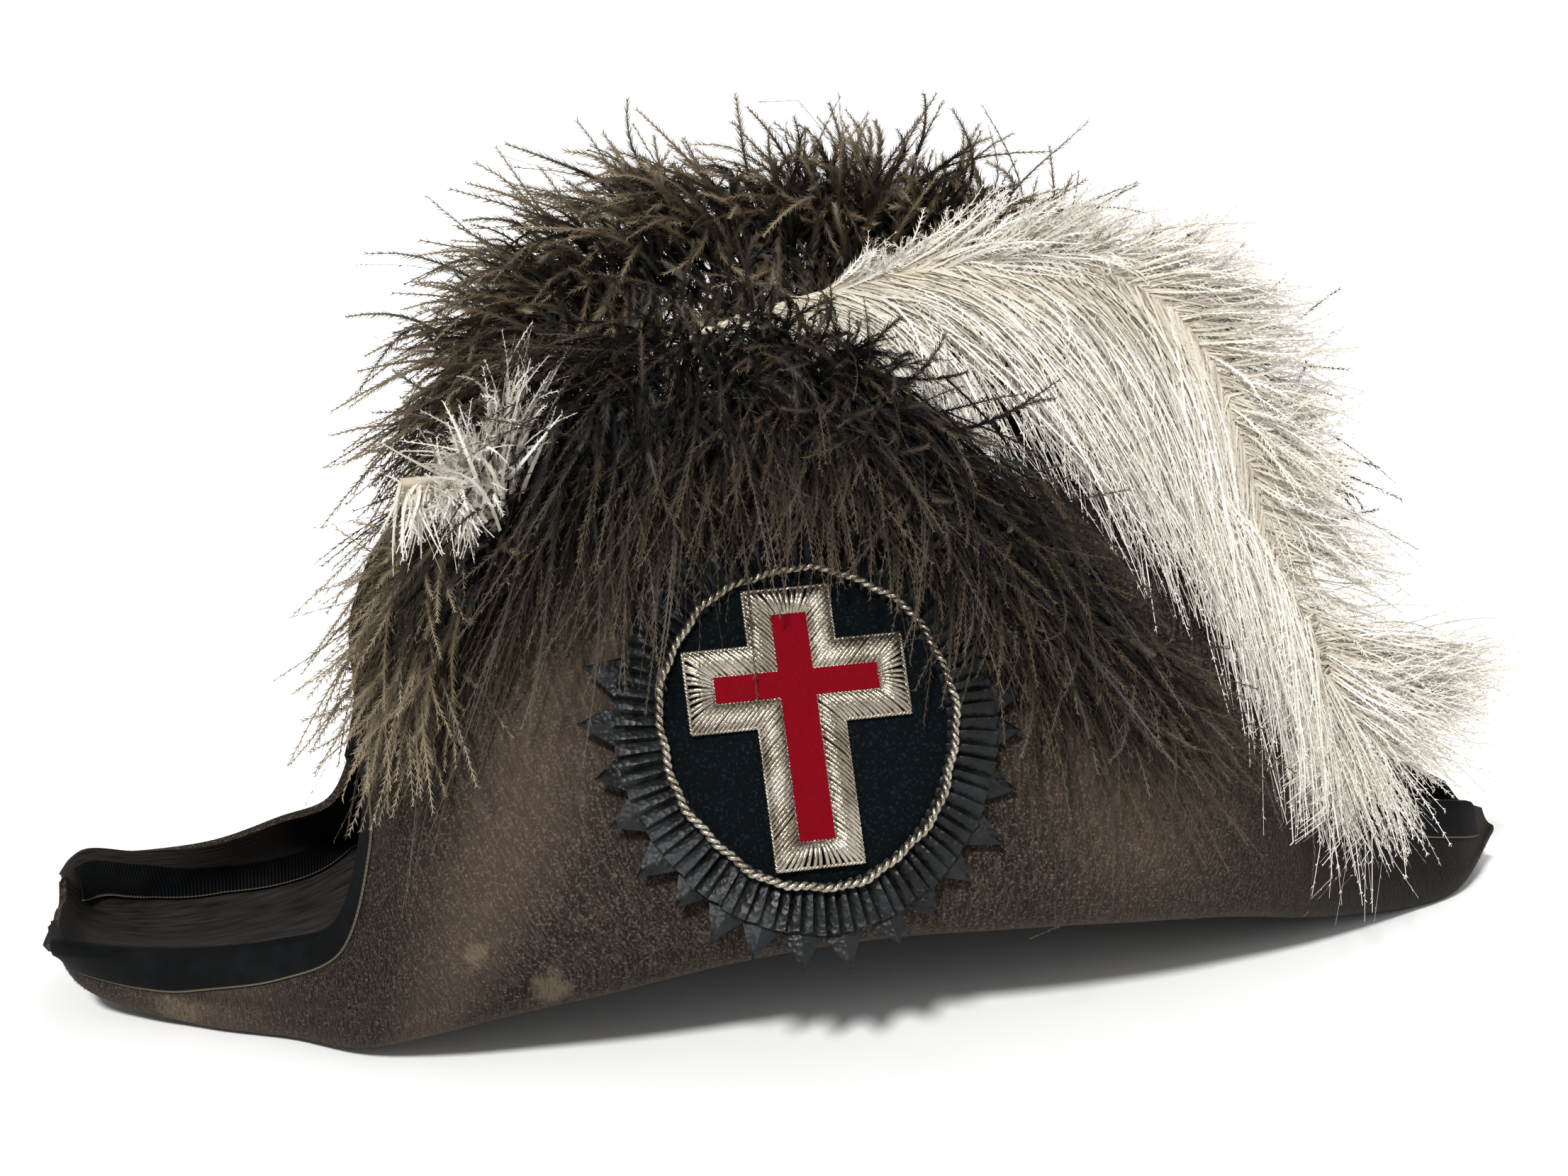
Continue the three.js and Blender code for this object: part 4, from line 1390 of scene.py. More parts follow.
@dataclass
class Rosette:
    """The leather rosette: a dog-tooth ring of folded corners, and a ring of knife pleats on it."""

    badge: BadgeFrame
    points: int = 28
    point_inside: float = 3.0
    point_reach: float = 20.5
    point_level: float = 1.5
    point_ridge: float = 1.3
    point_stray: float = 0.1
    point_lengths: Pair = (0.9, 1.06)
    point_spread: float = 0.98
    point_base: float = 9.0
    point_tilt: Pair = (0.5, 0.25)
    point_curl: Pair = (0.2, 0.5)
    point_taper: float = 0.95
    point_flattening: float = 0.4
    point_levels: Pair = (0.7, 2.9)
    pleats: int = 84
    pleat_steps: int = 9
    pleat_inside: float = -0.6
    pleat_width: float = 12.6
    pleat_level: float = 3.2
    pleat_ridge: float = 1.7
    pleat_heights: Pair = (0.7, 1.15)
    pleat_slip: float = 0.07
    pleat_stray: float = 0.35
    pleat_rise: float = 0.78
    pleat_bulge: float = 0.8
    pleat_press: float = 0.55
    pleat_hem: float = 1.1
    ring_length: float = 300.0
    leather: float = 0.5
    seed: int = 5

    def corners(self) -> None:
        """Folds each corner once and sets it in the ring."""
        rng = np.random.default_rng(self.seed)
        spacing = 2 * np.pi / self.points
        made = []
        for k in range(self.points):
            middle = (k + 0.5 + rng.normal(0, self.point_stray)) * spacing
            reach = self.point_reach * rng.uniform(*self.point_lengths)
            half = self.point_spread * spacing * (self.badge.half_width + self.point_base)
            tilt = rng.normal(*self.point_tilt)
            curl = rng.normal(*self.point_curl)

            def place(across: Array, along: Array) -> Array:
                """Narrows the corner to its tip, with a ridge down the middle.

                Args:
                    across: shares of the width.
                    along: shares of the length.

                Returns:
                    Places in the hat's frame.
                """
                turn = np.full(len(across), middle)
                root = self.badge.egg(turn, lerp(self.point_inside, reach, along))
                beside = np.column_stack([-np.sin(turn), np.cos(turn)])
                aside = (2 * across - 1) * half * (1 - along) ** self.point_taper
                ridge = self.point_ridge * (1 - self.point_flattening * along)
                fold = ridge * (1 - np.abs(2 * across - 1))
                level = self.point_level + fold + tilt * (2 * across - 1) * (1 - along) + curl * along**2
                flat = root + beside * aside[:, None]
                return self.badge.to_hat(np.column_stack([flat, np.clip(level, *self.point_levels)]))

            made.append(grid_sheet(f"corner_{k}", 6, 8, place, (2 * half, reach)))
        piece = join("rosette_corners", made)
        finish_with(piece, "SOLIDIFY", thickness=self.leather * MM, offset=1.0)
        smooth(piece, 25)
        dress(piece, (LEATHER_FINISH,), ("rosette_points",))

    def ruff(self) -> None:
        """Lays the knife pleats around the badge."""
        rng = np.random.default_rng(self.seed + 1)
        height = rng.uniform(*self.pleat_heights, self.pleats)
        slip = rng.normal(0, self.pleat_slip, self.pleats)
        reach = rng.normal(0, self.pleat_stray, self.pleats)

        def place(across: Array, along: Array) -> Array:
            """Raises each pleat slowly and drops it sharply.

            Args:
                across: shares of the width.
                along: shares of the length.

            Returns:
                Places in the hat's frame.
            """
            number = along * self.pleats
            k = np.minimum(number.astype(int), self.pleats - 1) % self.pleats
            within = number - np.minimum(number.astype(int), self.pleats - 1)
            rising = np.sin(np.pi / 2 * np.minimum(within / self.pleat_rise, 1)) ** self.pleat_bulge
            lift = np.where(within < self.pleat_rise, rising, (1 - within) / (1 - self.pleat_rise))
            turn = 2 * np.pi * along + 2 * np.pi / self.pleats * slip[k] * lift
            out = lerp(self.pleat_inside, self.pleat_width + reach[k] * lift, across)
            flat = self.badge.egg(turn, out)
            press = lerp(self.pleat_press, 1, np.sin(np.pi * np.clip(across * self.pleat_hem, 0, 1)))
            level = self.pleat_level + self.pleat_ridge * height[k] * lift * press
            return self.badge.to_hat(np.column_stack([flat, level]))

        size = (self.pleat_width, self.ring_length)
        piece = grid_sheet("rosette_ruff", 8, self.pleats * self.pleat_steps, place, size)
        merge_doubles(piece)
        finish_with(piece, "SOLIDIFY", thickness=self.leather * MM, offset=-1.0)
        smooth(piece, 45)
        dress(piece, (LEATHER_FINISH,), ("rosette_pleats",))


@dataclass
class Badge:
    """The velvet badge with its twisted cord, bullion cross and red inlay."""

    frame: BadgeFrame
    velvet_height: float = 6.4
    velvet_grow: float = -0.2
    velvet_spread: float = 0.7
    velvet_roundness: float = 0.55
    cord_radius: float = 1.4
    cord_level: float = 6.8
    cord_pitch: float = 4.6
    cord_reach: float = 0.62
    cord_strand: float = 0.66
    cord_steps: int = 700
    # Each wave's size, how many there are around the cord, and where it starts.
    cord_slack: tuple[Point, ...] = ((0.35, 9, 1), (0.25, 23, 0))
    edging_pitch: float = 1.9
    edging_reach: float = 0.3
    edging_strand: float = 0.34
    edging_steps: int = 60
    outer_edging: float = 0.45
    inner_edging: float = 0.5
    cross_width: float = 56.0
    cross_height: float = 71.0
    cross_bar: float = 22.0
    cross_arm: float = 20.5
    inlay_width: float = 42.0
    inlay_height: float = 58.0
    inlay_bar: float = 9.0
    inlay_arm: float = 6.8
    inlay_cloth: float = 1.1
    inlay_edge: float = 0.35
    arm_drop: float = 24.5
    cross_shift: float = -2.0
    cross_level: float = 7.2
    tilt: float = 1.5
    # The real wires are about 0.7 mm thick, drawn coarser here so that the rows still show.
    wire: float = 0.57
    wire_spacing: float = 1.16
    wire_steps: int = 7
    fewest_wires: int = 3
    slant_cut: float = 0.45
    slant_least: float = 0.3
    wire_stray: float = 0.08
    wire_level: float = 0.35
    wire_lift: float = 0.06
    padding: float = 1.5
    padding_roundness: float = 0.6
    seed: int = 8

    def velvet(self) -> None:
        """Presses a ball into the egg-shaped velvet pad."""
        piece = primitive("velvet_pad", "uv_sphere", segments=96, ring_count=32, radius=1)
        ball = coordinates(piece)
        turn = np.arctan2(ball[:, 1], ball[:, 0])
        level = np.linalg.norm(ball[:, :2], axis=1) ** self.velvet_spread
        flat = self.frame.egg(turn, self.velvet_grow) * level[:, None]
        half = self.velvet_height / 2
        z = GAP + half + half * np.sign(ball[:, 2]) * np.abs(ball[:, 2]) ** self.velvet_roundness
        put_coordinates(piece, in_part(self.frame.to_hat(np.column_stack([flat, z]))))
        smooth(piece, 80)
        dress(piece, (SilkVelvet("black silk velvet"),), ("badge_velvet",))

    def cord(self) -> None:
        """Twists the silver cord around the velvet."""
        turn = np.linspace(0, 2 * np.pi, self.cord_steps, endpoint=False)
        slack = sum(size * np.sin(waves * turn + start) for size, waves, start in self.cord_slack)
        flat = self.frame.egg(turn, self.cord_radius + slack)
        line = self.frame.to_hat(np.column_stack([flat, np.full(len(turn), self.cord_level)]))
        wound = twisted(line, self.frame.outward(), 2, self.cord_reach, self.cord_pitch)
        piece = strand("silver_cord", wound, self.cord_strand, closed=True)
        dress(piece, (BULLION_FINISH,), ("badge_cord",))

    def outline(self, width: float, height: float, bar: float, arm: float) -> Array:
        """Gives the twelve corners of a cross in its own plane.

        Args:
            width: the cross's width.
            height: the cross's height.
            bar: how wide the upright is.
            arm: how wide the arms are.

        Returns:
            One row for each corner.
        """
        reach, rise, half = width / 2, height / 2, bar / 2
        top = self.cross_height / 2 - self.arm_drop + arm / 2
        foot = top - arm
        right = [(half, -rise), (half, foot), (reach, foot), (reach, top), (half, top), (half, rise)]
        return np.array(right + [(-x, y) for x, y in reversed(right)])

    def on_cross(self, flat: Array, level: Array | float) -> Array:
        """Takes places in the cross's plane, at a level above the velvet, to the hat's frame.

        Args:
            flat: places in the cross's plane.
            level: heights above that plane.

        Returns:
            Places in the hat's frame.
        """
        turn = math.radians(self.tilt)
        x = flat[:, 0] * math.cos(turn) - flat[:, 1] * math.sin(turn) + self.cross_shift
        y = flat[:, 0] * math.sin(turn) + flat[:, 1] * math.cos(turn)
        z = self.cross_level + np.broadcast_to(level, len(flat))
        return self.frame.to_hat(np.column_stack([x, y, z]))

    def bullion(self) -> None:
        """Lays the wires from the inlay out to the cross's edge, with a twisted cord around both outlines."""
        rng = np.random.default_rng(self.seed)
        inner = self.outline(self.inlay_width, self.inlay_height, self.inlay_bar, self.inlay_arm)
        outer = self.outline(self.cross_width, self.cross_height, self.cross_bar, self.cross_arm)
        along = np.linspace(0, 1, self.wire_steps)
        wires = []
        for k in range(len(inner)):
            a, b = inner[k], inner[(k + 1) % len(inner)]
            c, d = outer[k], outer[(k + 1) % len(outer)]
            middle = (np.linalg.norm(b - a) + np.linalg.norm(d - c)) / 2
            slant = abs(np.dot(unit(d - c), unit((c + d) / 2 - (a + b) / 2)))
            width = middle * math.sqrt(max(self.slant_least, 1 - self.slant_cut * slant**2))
            count = max(self.fewest_wires, round(width / self.wire_spacing))
            for j in range(count):
                share = (j + 0.5 + rng.normal(0, self.wire_stray)) / count
                flat = lerp(lerp(a, b, share), lerp(c, d, share), along[:, None])
                padded = self.padding * np.sin(np.pi * along) ** self.padding_roundness
                rise = self.wire_level + padded + rng.normal(0, self.wire_lift)
                wires.append(self.on_cross(flat, rise))
        pieces = [strand("bullion_cross", wires, self.wire)]
        for corners, level in ((outer, self.outer_edging), (inner, self.inner_edging)):
            steps = np.linspace(0, 1, self.edging_steps, endpoint=False)[:, None]
            sides = [lerp(a, b, steps) for a, b in zip(corners, np.roll(corners, -1, axis=0))]
            line = self.on_cross(np.concatenate(sides), level)
            wound = twisted(line, self.frame.outward(), 2, self.edging_reach, self.edging_pitch)
            pieces.append(strand("edge_cord", wound, self.edging_strand, closed=True))
        piece = join("bullion_cross", pieces)
        dress(piece, (BULLION_FINISH,), ("badge_cross",))

    def inlay(self) -> None:
        """Lays two bars of red cloth as a cross and softens their edges."""
        made = []
        middle = self.cross_height / 2 - self.arm_drop
        for width, height, centre in (
            (self.inlay_bar, self.inlay_height, 0.0),
            (self.inlay_width, self.inlay_arm, middle),
        ):
            bar = primitive("red_bar", "cube", size=1)
            solid = coordinates(bar) * [width, height, self.inlay_cloth] + [0, centre, self.inlay_cloth / 2]
            put_coordinates(bar, in_part(self.on_cross(solid[:, :2], solid[:, 2])))
            made.append(bar)
        finish_with(made[0], "BOOLEAN", operation="UNION", object=made[1], solver="EXACT")
        bpy.data.objects.remove(made[1])
        made[0].name = "red_inlay"
        finish_with(made[0], "BEVEL", width=self.inlay_edge * MM, segments=3)
        smooth(made[0], 30)
        dress(made[0], (RedCloth("red broadcloth"),), ("badge_cross_center",))


@dataclass
class Plume:
    """An ostrich plume: a quill, and vanes of barbs that hang from it in locks."""

    name: str
    node: str
    colour: Plumage
    finish: OstrichBarb
    quill_rows: Sequence[Sequence[float]]
    vane_rows: Sequence[Sequence[Sequence[float]]]
    barbs: Sequence[int]
    locks: int
    fluff: float
    barbule: float
    seed: int
    keep_out: Callable[[Array, Array], Array] | None = None
    steps: int = 8
    pairs: int = 1
    # Barbs are wider than real ones, because there are fewer of them.
    half_width: float = 0.42
    barbule_width: float = 0.55
    forward: float = 1.6
    lengths: Pair = (0.72, 1.06)
    clump: float = 0.62
    loose: float = 2.0
    root_spread: float = 0.5
    sweep: float = 0.0
    sway: float = 0.8
    crowd: float = 1.0
    curl: float = 2.0
    shaft: float = 1.5
    lowest: float = 1.0
    ceiling: float = 236.0
    widest: float = 113.0
    fan: int = 0
    fan_locks: int = 14
    fan_sag: float = 0.5
    fan_root: float = 0.98
    fan_lengths: Pair = (0.85, 1.15)
    fan_spread: float = 0.06
    shaft_steps: int = 48
    shaft_tip: float = 0.25
    lock_spread: float = 0.6
    lock_stray: float = 0.012
    lock_lengths: Pair = (0.86, 1.06)
    sweep_stray: float = 0.25
    droop: float = 0.6
    pulls: Pair = (0.4, 1.1)
    pull_growth: float = 1.5
    stray_growth: float = 1.3
    curl_growth: float = 2.5
    layers: Pair = (0.1, 0.85)
    ripple: float = 0.15
    ripples: Pair = (2.0, 7.0)
    beats: Pair = (1.5, 5.0)
    face_stray: float = 0.6
    widths: Pair = (0.7, 1.3)
    tints: Pair = (0.8, 2.2)
    barbule_lengths: Pair = (0.55, 1.2)
    barbule_stray: float = 0.2
    barbule_lift: float = 0.3
    barbule_root: float = 0.16
    barbule_run: float = 0.76
    barbule_fullness: float = 0.6
    tip_width: float = 0.04
    lowest_barbule: float = 0.6
    probe: float = 0.01

    def __post_init__(self) -> None:
        """Lays the quill's curve and reads the vanes' tables."""
        quill = columns_of(QUILL_COLUMNS, self.quill_rows)
        self.curve = Spline(np.column_stack([quill["x"], quill["y"], quill["z"]]))
        self.vanes = [columns_of(VANE_COLUMNS, rows) for rows in self.vane_rows]
        self.rng = np.random.default_rng(self.seed)

    def reach(self, vane: Mapping[str, Array], at: Array) -> tuple[Array, Array]:
        """Reads a vane's table.

        Args:
            vane: the table.
            at: shares of the quill's length.

        Returns:
            The barbs' reach and sag at each share.
        """
        way = np.column_stack([np.interp(at, vane["at"], vane[axis]) for axis in "xyz"])
        return way, np.interp(at, vane["at"], vane["sag"])

    def lines(self, vane: Mapping[str, Array], count: int) -> tuple[Array, Array]:
        """Draws barbs in locks.

        Args:
            vane: the vane's table.
            count: how many barbs there are.

        Returns:
            The barbs' places, and the direction that each barb's flat face looks.
        """
        rng = self.rng
        first = vane["at"][0]
        at_lock = np.sort(lerp(first, 1, rng.uniform(0, 1, self.locks) ** self.crowd))
        lock = rng.integers(0, self.locks, count)
        spread = self.lock_spread / self.locks + self.lock_stray
        at = np.clip(at_lock[lock] + rng.normal(0, spread, count), first, 1)
        return self.drawn(self.reach(vane, at), self.reach(vane, at_lock), at, at_lock, lock)

    def drawn(
        self,
        own: tuple[Array, Array],
        shared: tuple[Array, Array],
        at: Array,
        at_lock: Array,
        lock: Array,
    ) -> tuple[Array, Array]:
        """Sweeps each barb along the quill, bends it towards its lock's middle line and curls its tip.

        Args:
            own: each barb's reach and sag.
            shared: each lock's reach and sag.
            at: where each barb leaves the quill.
            at_lock: where each lock leaves it.
            lock: each barb's lock.

        Returns:
            The barbs' places, and the direction that each barb's flat face looks.
        """
        rng = self.rng
        t = np.linspace(0, 1, self.steps + 1)[None, :, None]
        root = self.curve.at_length(at) + rng.normal(0, self.root_spread, (len(at), 3))
        ahead, behind = np.minimum(at + self.probe, 1), np.maximum(at - self.probe, 0)
        quill_way = unit(self.curve.at_length(ahead) - self.curve.at_length(behind))
        face = unit(np.cross(quill_way, own[0]))
        far = np.linalg.norm(own[0], axis=1)[:, None]
        length = rng.uniform(*self.lengths, len(at)) * rng.uniform(*self.lock_lengths, len(at_lock))[lock]
        stray = rng.normal(0, self.fluff, (len(at_lock), 3))[lock] + rng.normal(0, self.loose, (len(at), 3))
        bow = quill_way * far * rng.normal(self.sweep, self.sweep_stray, (len(at), 1))
        curl = rng.normal(0, self.curl, (len(at), 3)) + np.array([0, 0, -self.droop * self.curl])

        def path(start: Array, reach: Array, sag: Array, size: Array) -> Array:
            """Reaches out from the quill and sags.

            Args:
                start: where each line starts.
                reach: how far it goes.
                sag: how much it drops.
                size: its length as a share.

            Returns:
                The places on each line.
            """
            s = size[:, None, None] * t
            line = start[:, None] + reach[:, None] * s
            line[..., 2] -= sag[:, None] * s[..., 0] ** 2
            return line

        mine = path(root, own[0], own[1], length)
        ours = path(self.curve.at_length(at_lock), shared[0], shared[1], np.ones(len(at_lock)))[lock]
        pull = self.clump * rng.uniform(*self.pulls, (len(at), 1, 1)) * t**self.pull_growth
        line = lerp(mine, lerp(root[:, None], ours, length[:, None, None]), pull)
        line = line + stray[:, None] * t**self.stray_growth + bow[:, None] * t * (1 - t)
        line = line + curl[:, None] * t**self.curl_growth
        line[..., 1] = np.clip(line[..., 1], -self.widest, self.widest)
        line[..., 2] = np.clip(line[..., 2], self.lowest, self.ceiling)
        if self.keep_out:
            each = (len(at), 1)
            phase = rng.uniform(0, 2 * np.pi, each) + rng.uniform(*self.ripples, each) * t[..., 0]
            layer = rng.uniform(*self.layers, each) + self.ripple * np.sin(phase)
            line = self.keep_out(line.reshape(-1, 3), np.clip(layer, 0, 1).ravel()).reshape(line.shape)
        aside = unit(np.cross(face, own[0]))[:, None]
        beat = rng.uniform(0, 2 * np.pi, (len(at), 1, 1)) + rng.uniform(*self.beats, (len(at), 1, 1)) * t
        line = line + aside * self.sway * np.sin(beat) * t
        return line, unit(face + rng.normal(0, self.face_stray, (len(at), 3)))

    def barb_mesh(self, name: str, line: Array, face: Array) -> Piece:
        """Makes barbs with barbules.

        Args:
            name: the new object's name.
            line: the barbs' places.
            face: the direction that each barb's flat face looks.

        Returns:
            The mesh, with each barb's tint and the place along it kept at its vertices.
        """
        rng = self.rng
        count, points, _ = line.shape
        way = unit(np.gradient(line, axis=1))
        beside = unit(np.cross(way, face[:, None]))
        t = np.linspace(0, 1, points)
        thin = np.maximum(1 - t, self.tip_width) ** 0.5
        half = self.half_width * rng.uniform(*self.widths, (count, 1, 1)) * thin[None, :, None]
        strip = np.stack([line - beside * half, line + beside * half], axis=2)
        start = (np.arange(count)[:, None] * points + np.arange(points - 1)) * 2
        quads = np.stack([start, start + 1, start + 3, start, start + 3, start + 2], axis=-1).reshape(-1, 3)
        inside = (np.arange(self.pairs) + 0.5) / self.pairs
        spans = points - 1
        shape = (count, spans, self.pairs, 2, 1)
        slip = rng.normal(0, self.barbule_stray / self.pairs, shape)
        share = np.clip(inside[None, None, :, None, None] + slip, 0, 1)
        step = (line[:, 1:] - line[:, :-1])[:, :, None, None]
        foot = line[:, :-1, None, None] + step * share
        sign = np.array([-1.0, 1.0])[:, None]
        here = (np.arange(spans)[:, None] + inside) / spans
        swell = np.sin(np.pi * np.clip(self.barbule_root + self.barbule_run * here, 0, 1))
        full = swell**self.barbule_fullness
        size = self.barbule * rng.uniform(*self.barbule_lengths, shape) * full[None, :, :, None, None]
        lift = rng.normal(0, self.barbule_lift, shape) * face[:, None, None, None]
        ahead = way[:, 1:, None, None]
        aim = unit(ahead * self.forward + sign * beside[:, 1:, None, None] + lift)
        tooth = np.stack([foot, foot + ahead * self.barbule_width, foot + aim * size], axis=4)
        teeth = count * points * 2 + np.arange(tooth.size // 3).reshape(-1, 3)
        places = np.concatenate([strip.reshape(-1, 3), tooth.reshape(-1, 3)])
        tint = rng.beta(*self.tints, count)
        along_strip = np.broadcast_to(t[None, :, None], (count, points, 2))
        along_teeth = np.broadcast_to(here[None, :, :, None, None], (count, spans, self.pairs, 2, 3))
        marks = {
            "tint": np.concatenate([np.repeat(tint, points * 2), np.repeat(tint, spans * self.pairs * 6)]),
            "along": np.concatenate([along_strip.ravel(), along_teeth.ravel()]),
        }
        places[:, 2] = np.maximum(places[:, 2], self.lowest_barbule)
        return triangle_mesh(name, places, np.concatenate([quads, teeth]), marks)

    def build(self) -> None:
        """Makes the plume's barbs, vane by vane, and its quill's shaft."""
        for number, vane in enumerate(self.vanes):
            piece = self.barb_mesh(f"{self.name}_vane_{number + 1}", *self.lines(vane, self.barbs[number]))
            dress(piece, (self.finish,), (self.node,) if self.node and number == 0 else ())
        if self.fan:
            self.tip_fan()
        line = self.curve.at_length(np.linspace(0, 1, self.shaft_steps))
        taper = np.linspace(1, self.shaft_tip, self.shaft_steps)
        shaft = strand(f"{self.name}_shaft", [line], self.shaft, taper=taper)
        horn = PALE_HORN if self.colour is Plumage.WHITE else DARK_HORN
        dress(shaft, (horn,), ())

    def tip_fan(self) -> None:
        """Fills the space between the two vanes' last barbs with a fan."""
        rng = self.rng
        (reach, sag), (last_reach, last_sag) = (self.reach(vane, np.array([1.0])) for vane in self.vanes)

        def between(way: Array) -> tuple[Array, Array]:
            """Gives the reach and sag at shares of the way from the first vane to the second."""
            return lerp(reach, last_reach, way), lerp(sag, last_sag, way[:, 0]) * self.fan_sag

        share = rng.uniform(0, 1, (self.fan, 1))
        own_reach, own_sag = between(share)
        own_reach = own_reach * rng.uniform(*self.fan_lengths, (self.fan, 1))
        at = 1 - rng.uniform(0, self.fan_spread, self.fan)
        lock = np.minimum((share[:, 0] * self.fan_locks).astype(int), self.fan_locks - 1)
        shared = between(((np.arange(self.fan_locks) + 0.5) / self.fan_locks)[:, None])
        at_lock = np.full(self.fan_locks, self.fan_root)
        line, face = self.drawn((own_reach, own_sag), shared, at, at_lock, lock)
        dress(self.barb_mesh(f"{self.name}_tip_fan", line, face), (self.finish,), ())


@dataclass
class PlumeRoom:
    """The felt and the rosette, which barbs that hang outside the hat lie on."""

    sheet: FeltSheet
    badge: BadgeFrame
    side: Side
    pile: float = 11.0
    clearance: float = 1.0
    badge_pile: float = 6.0
    badge_top: float = 8.6
    badge_back: float = -25.0
    badge_margin: float = 22.0
    steepest: float = -0.5
    square_on: float = 0.6
    nearest: float = 16.0
    across: int = 60
    along: int = 120

    def __post_init__(self) -> None:
        """Keeps a coarse copy of the sheet to find the nearest felt."""
        row = self.across + 1
        across, share = np.meshgrid(np.linspace(0, 1, row), np.linspace(0, 1, self.along + 1))
        places = self.sheet.places(across.ravel(), share.ravel())
        start = (np.arange(self.along)[:, None] * row + np.arange(self.across)).ravel()
        quads = np.stack([start, start + 1, start + row + 1, start + row], axis=1)
        self.tree = BVHTree.FromPolygons(places.tolist(), quads.tolist())

    def __call__(self, places: Array, layer: Array) -> Array:
        """Moves places that are in the felt or the rosette out of them.

        Args:
            places: places in the hat's frame.
            layer: a number from 0 to 1 for each, for how high in the pile it lies.

        Returns:
            The places, moved where needed.
        """
        moved = places.copy()
        margin = FELT / 2 + self.clearance + self.pile * layer
        for i, place in enumerate(places):
            spot, normal, _, away = self.tree.find_nearest(Vector(place), self.nearest)
            if spot is None or spot.y * self.side.value < 0 or normal.z < self.steepest:
                continue
            above = (Vector(place) - spot).dot(normal)
            if above < margin[i] and abs(above) > self.square_on * away:
                moved[i] = np.array(spot + normal * margin[i])
        local = self.badge.from_hat(moved)
        half = np.array([self.badge.half_width, self.badge.half_height]) + self.badge_margin
        ring = ((local[:, :2] / half) ** 2).sum(axis=1)
        level = self.badge_top + self.badge_pile * layer
        inside = (ring < 1) & (local[:, 2] < level) & (local[:, 2] > self.badge_back)
        local[inside, 2] = level[inside]
        return np.where(inside[:, None], self.badge.to_hat(local), moved)


WHITE_QUILL = [
    [-72, -8, 140],
    [-45, -14, 168],
    [5, -22, 186],
    [45, -26, 192],
    [80, -29, 189],
    [104, -31, 172],
    [117, -33, 143],
    [127, -35, 110],
    [142, -36, 68],
]
WHITE_VANES = [
    [
        [0.3, 22, -4, 12, 2],
        [0.45, 30, -2, 16, 4],
        [0.57, 38, -2, 14, 6],
        [0.68, 36, 0, 4, 8],
        [0.8, 30, 2, -6, 10],
        [0.9, 38, 2, -8, 8],
        [1.0, 64, 4, 8, 8],
    ],
    [
        [0.2, 40, -38, -10, 32],
        [0.28, 50, -38, -14, 38],
        [0.38, 54, -38, -24, 44],
        [0.5, 40, -32, -44, 58],
        [0.62, 6, -22, -66, 54],
        [0.74, -14, -20, -72, 38],
        [0.87, -8, -18, -62, 20],
        [1.0, 38, -10, -26, 12],
    ],
]
TUFT_QUILL = [
    [-92, -54, 138],
    [-90, -54, 141],
    [-88, -53, 146],
    [-86, -52, 150],
]
TUFT_VANES = [
    [
        [0.0, -16, -10, 18, 2],
        [0.4, -6, -10, 28, 2],
        [0.7, 2, -8, 34, 2],
        [1.0, 8, -6, 36, 2],
    ],
]
COMB_QUILL = [
    [-111, -66, 150],
    [-101, -63, 150],
    [-90, -58, 149],
]
COMB_VANES = [
    [
        [0.0, 0, -5, -12, 2],
        [0.5, -1, -5, -14, 2],
        [1.0, -3, -5, -15, 2],
    ],
]
CREST_QUILL = [
    [-80, 6, 140],
    [-74, 8, 166],
    [-46, 10, 187],
    [0, 12, 197],
    [40, 12, 194],
    [72, 12, 182],
]
CREST_VANES = [
    [
        [0.0, -50, -16, -18, 12],
        [0.18, -46, -14, 22, 10],
        [0.36, -38, -16, 36, 6],
        [0.52, -22, -16, 38, 4],
        [0.68, -2, -16, 36, 4],
        [0.84, 16, -14, 30, 4],
        [1.0, 28, -10, 18, 8],
    ],
    [
        [0.0, -48, 16, -16, 12],
        [0.18, -44, 18, 18, 12],
        [0.36, -34, 22, 28, 12],
        [0.52, -18, 24, 30, 12],
        [0.68, 0, 24, 28, 12],
        [0.84, 16, 22, 24, 12],
        [1.0, 28, 14, 14, 10],
    ],
    [
        [0.0, -34, -26, -18, 14],
        [0.3, -16, -26, -22, 16],
        [0.6, 4, -18, -24, 16],
        [1.0, 22, -12, -26, 16],
    ],
]
NEAR_QUILL = [
    [-80, -28, 142],
    [-60, -38, 160],
    [-20, -46, 168],
    [8, -50, 158],
    [30, -58, 134],
    [50, -64, 106],
]
NEAR_VANES = [
    [
        [0.0, -44, -34, -52, 36],
        [0.1, -32, -34, -42, 38],
        [0.22, -10, -34, -26, 36],
        [0.36, 10, -32, -8, 28],
        [0.55, 20, -30, -12, 28],
        [0.68, 38, -24, -32, 36],
        [0.85, 42, -18, -42, 32],
        [1.0, 44, -12, -36, 18],
    ],
    [
        [0.0, -42, -18, 2, 18],
        [0.2, -28, -20, 32, 14],
        [0.4, -6, -16, 40, 12],
        [0.55, 10, -16, 20, 14],
        [0.75, 34, -16, -2, 26],
        [1.0, 48, -12, -14, 26],
    ],
]
FROND_QUILL = [
    [-82, -40, 142],
    [-62, -48, 158],
    [-22, -54, 166],
    [4, -58, 154],
    [28, -64, 132],
    [46, -68, 108],
]
FROND_VANES = [
    [
        [0.0, -40, -30, -44, 26],
        [0.15, -24, -34, -34, 30],
        [0.35, 6, -34, -14, 24],
        [0.55, 26, -30, -10, 24],
        [0.75, 34, -24, -24, 28],
        [1.0, 26, -16, -42, 22],
    ],
    [
        [0.0, -42, -26, 6, 12],
        [0.25, -18, -28, 22, 14],
        [0.45, 10, -26, 12, 16],
        [0.7, 30, -20, -6, 20],
        [1.0, 42, -14, -20, 22],
    ],
]
EDGE_QUILL = [
    [-90, -48, 143],
    [-101, -60, 129],
    [-105, -66, 112],
]
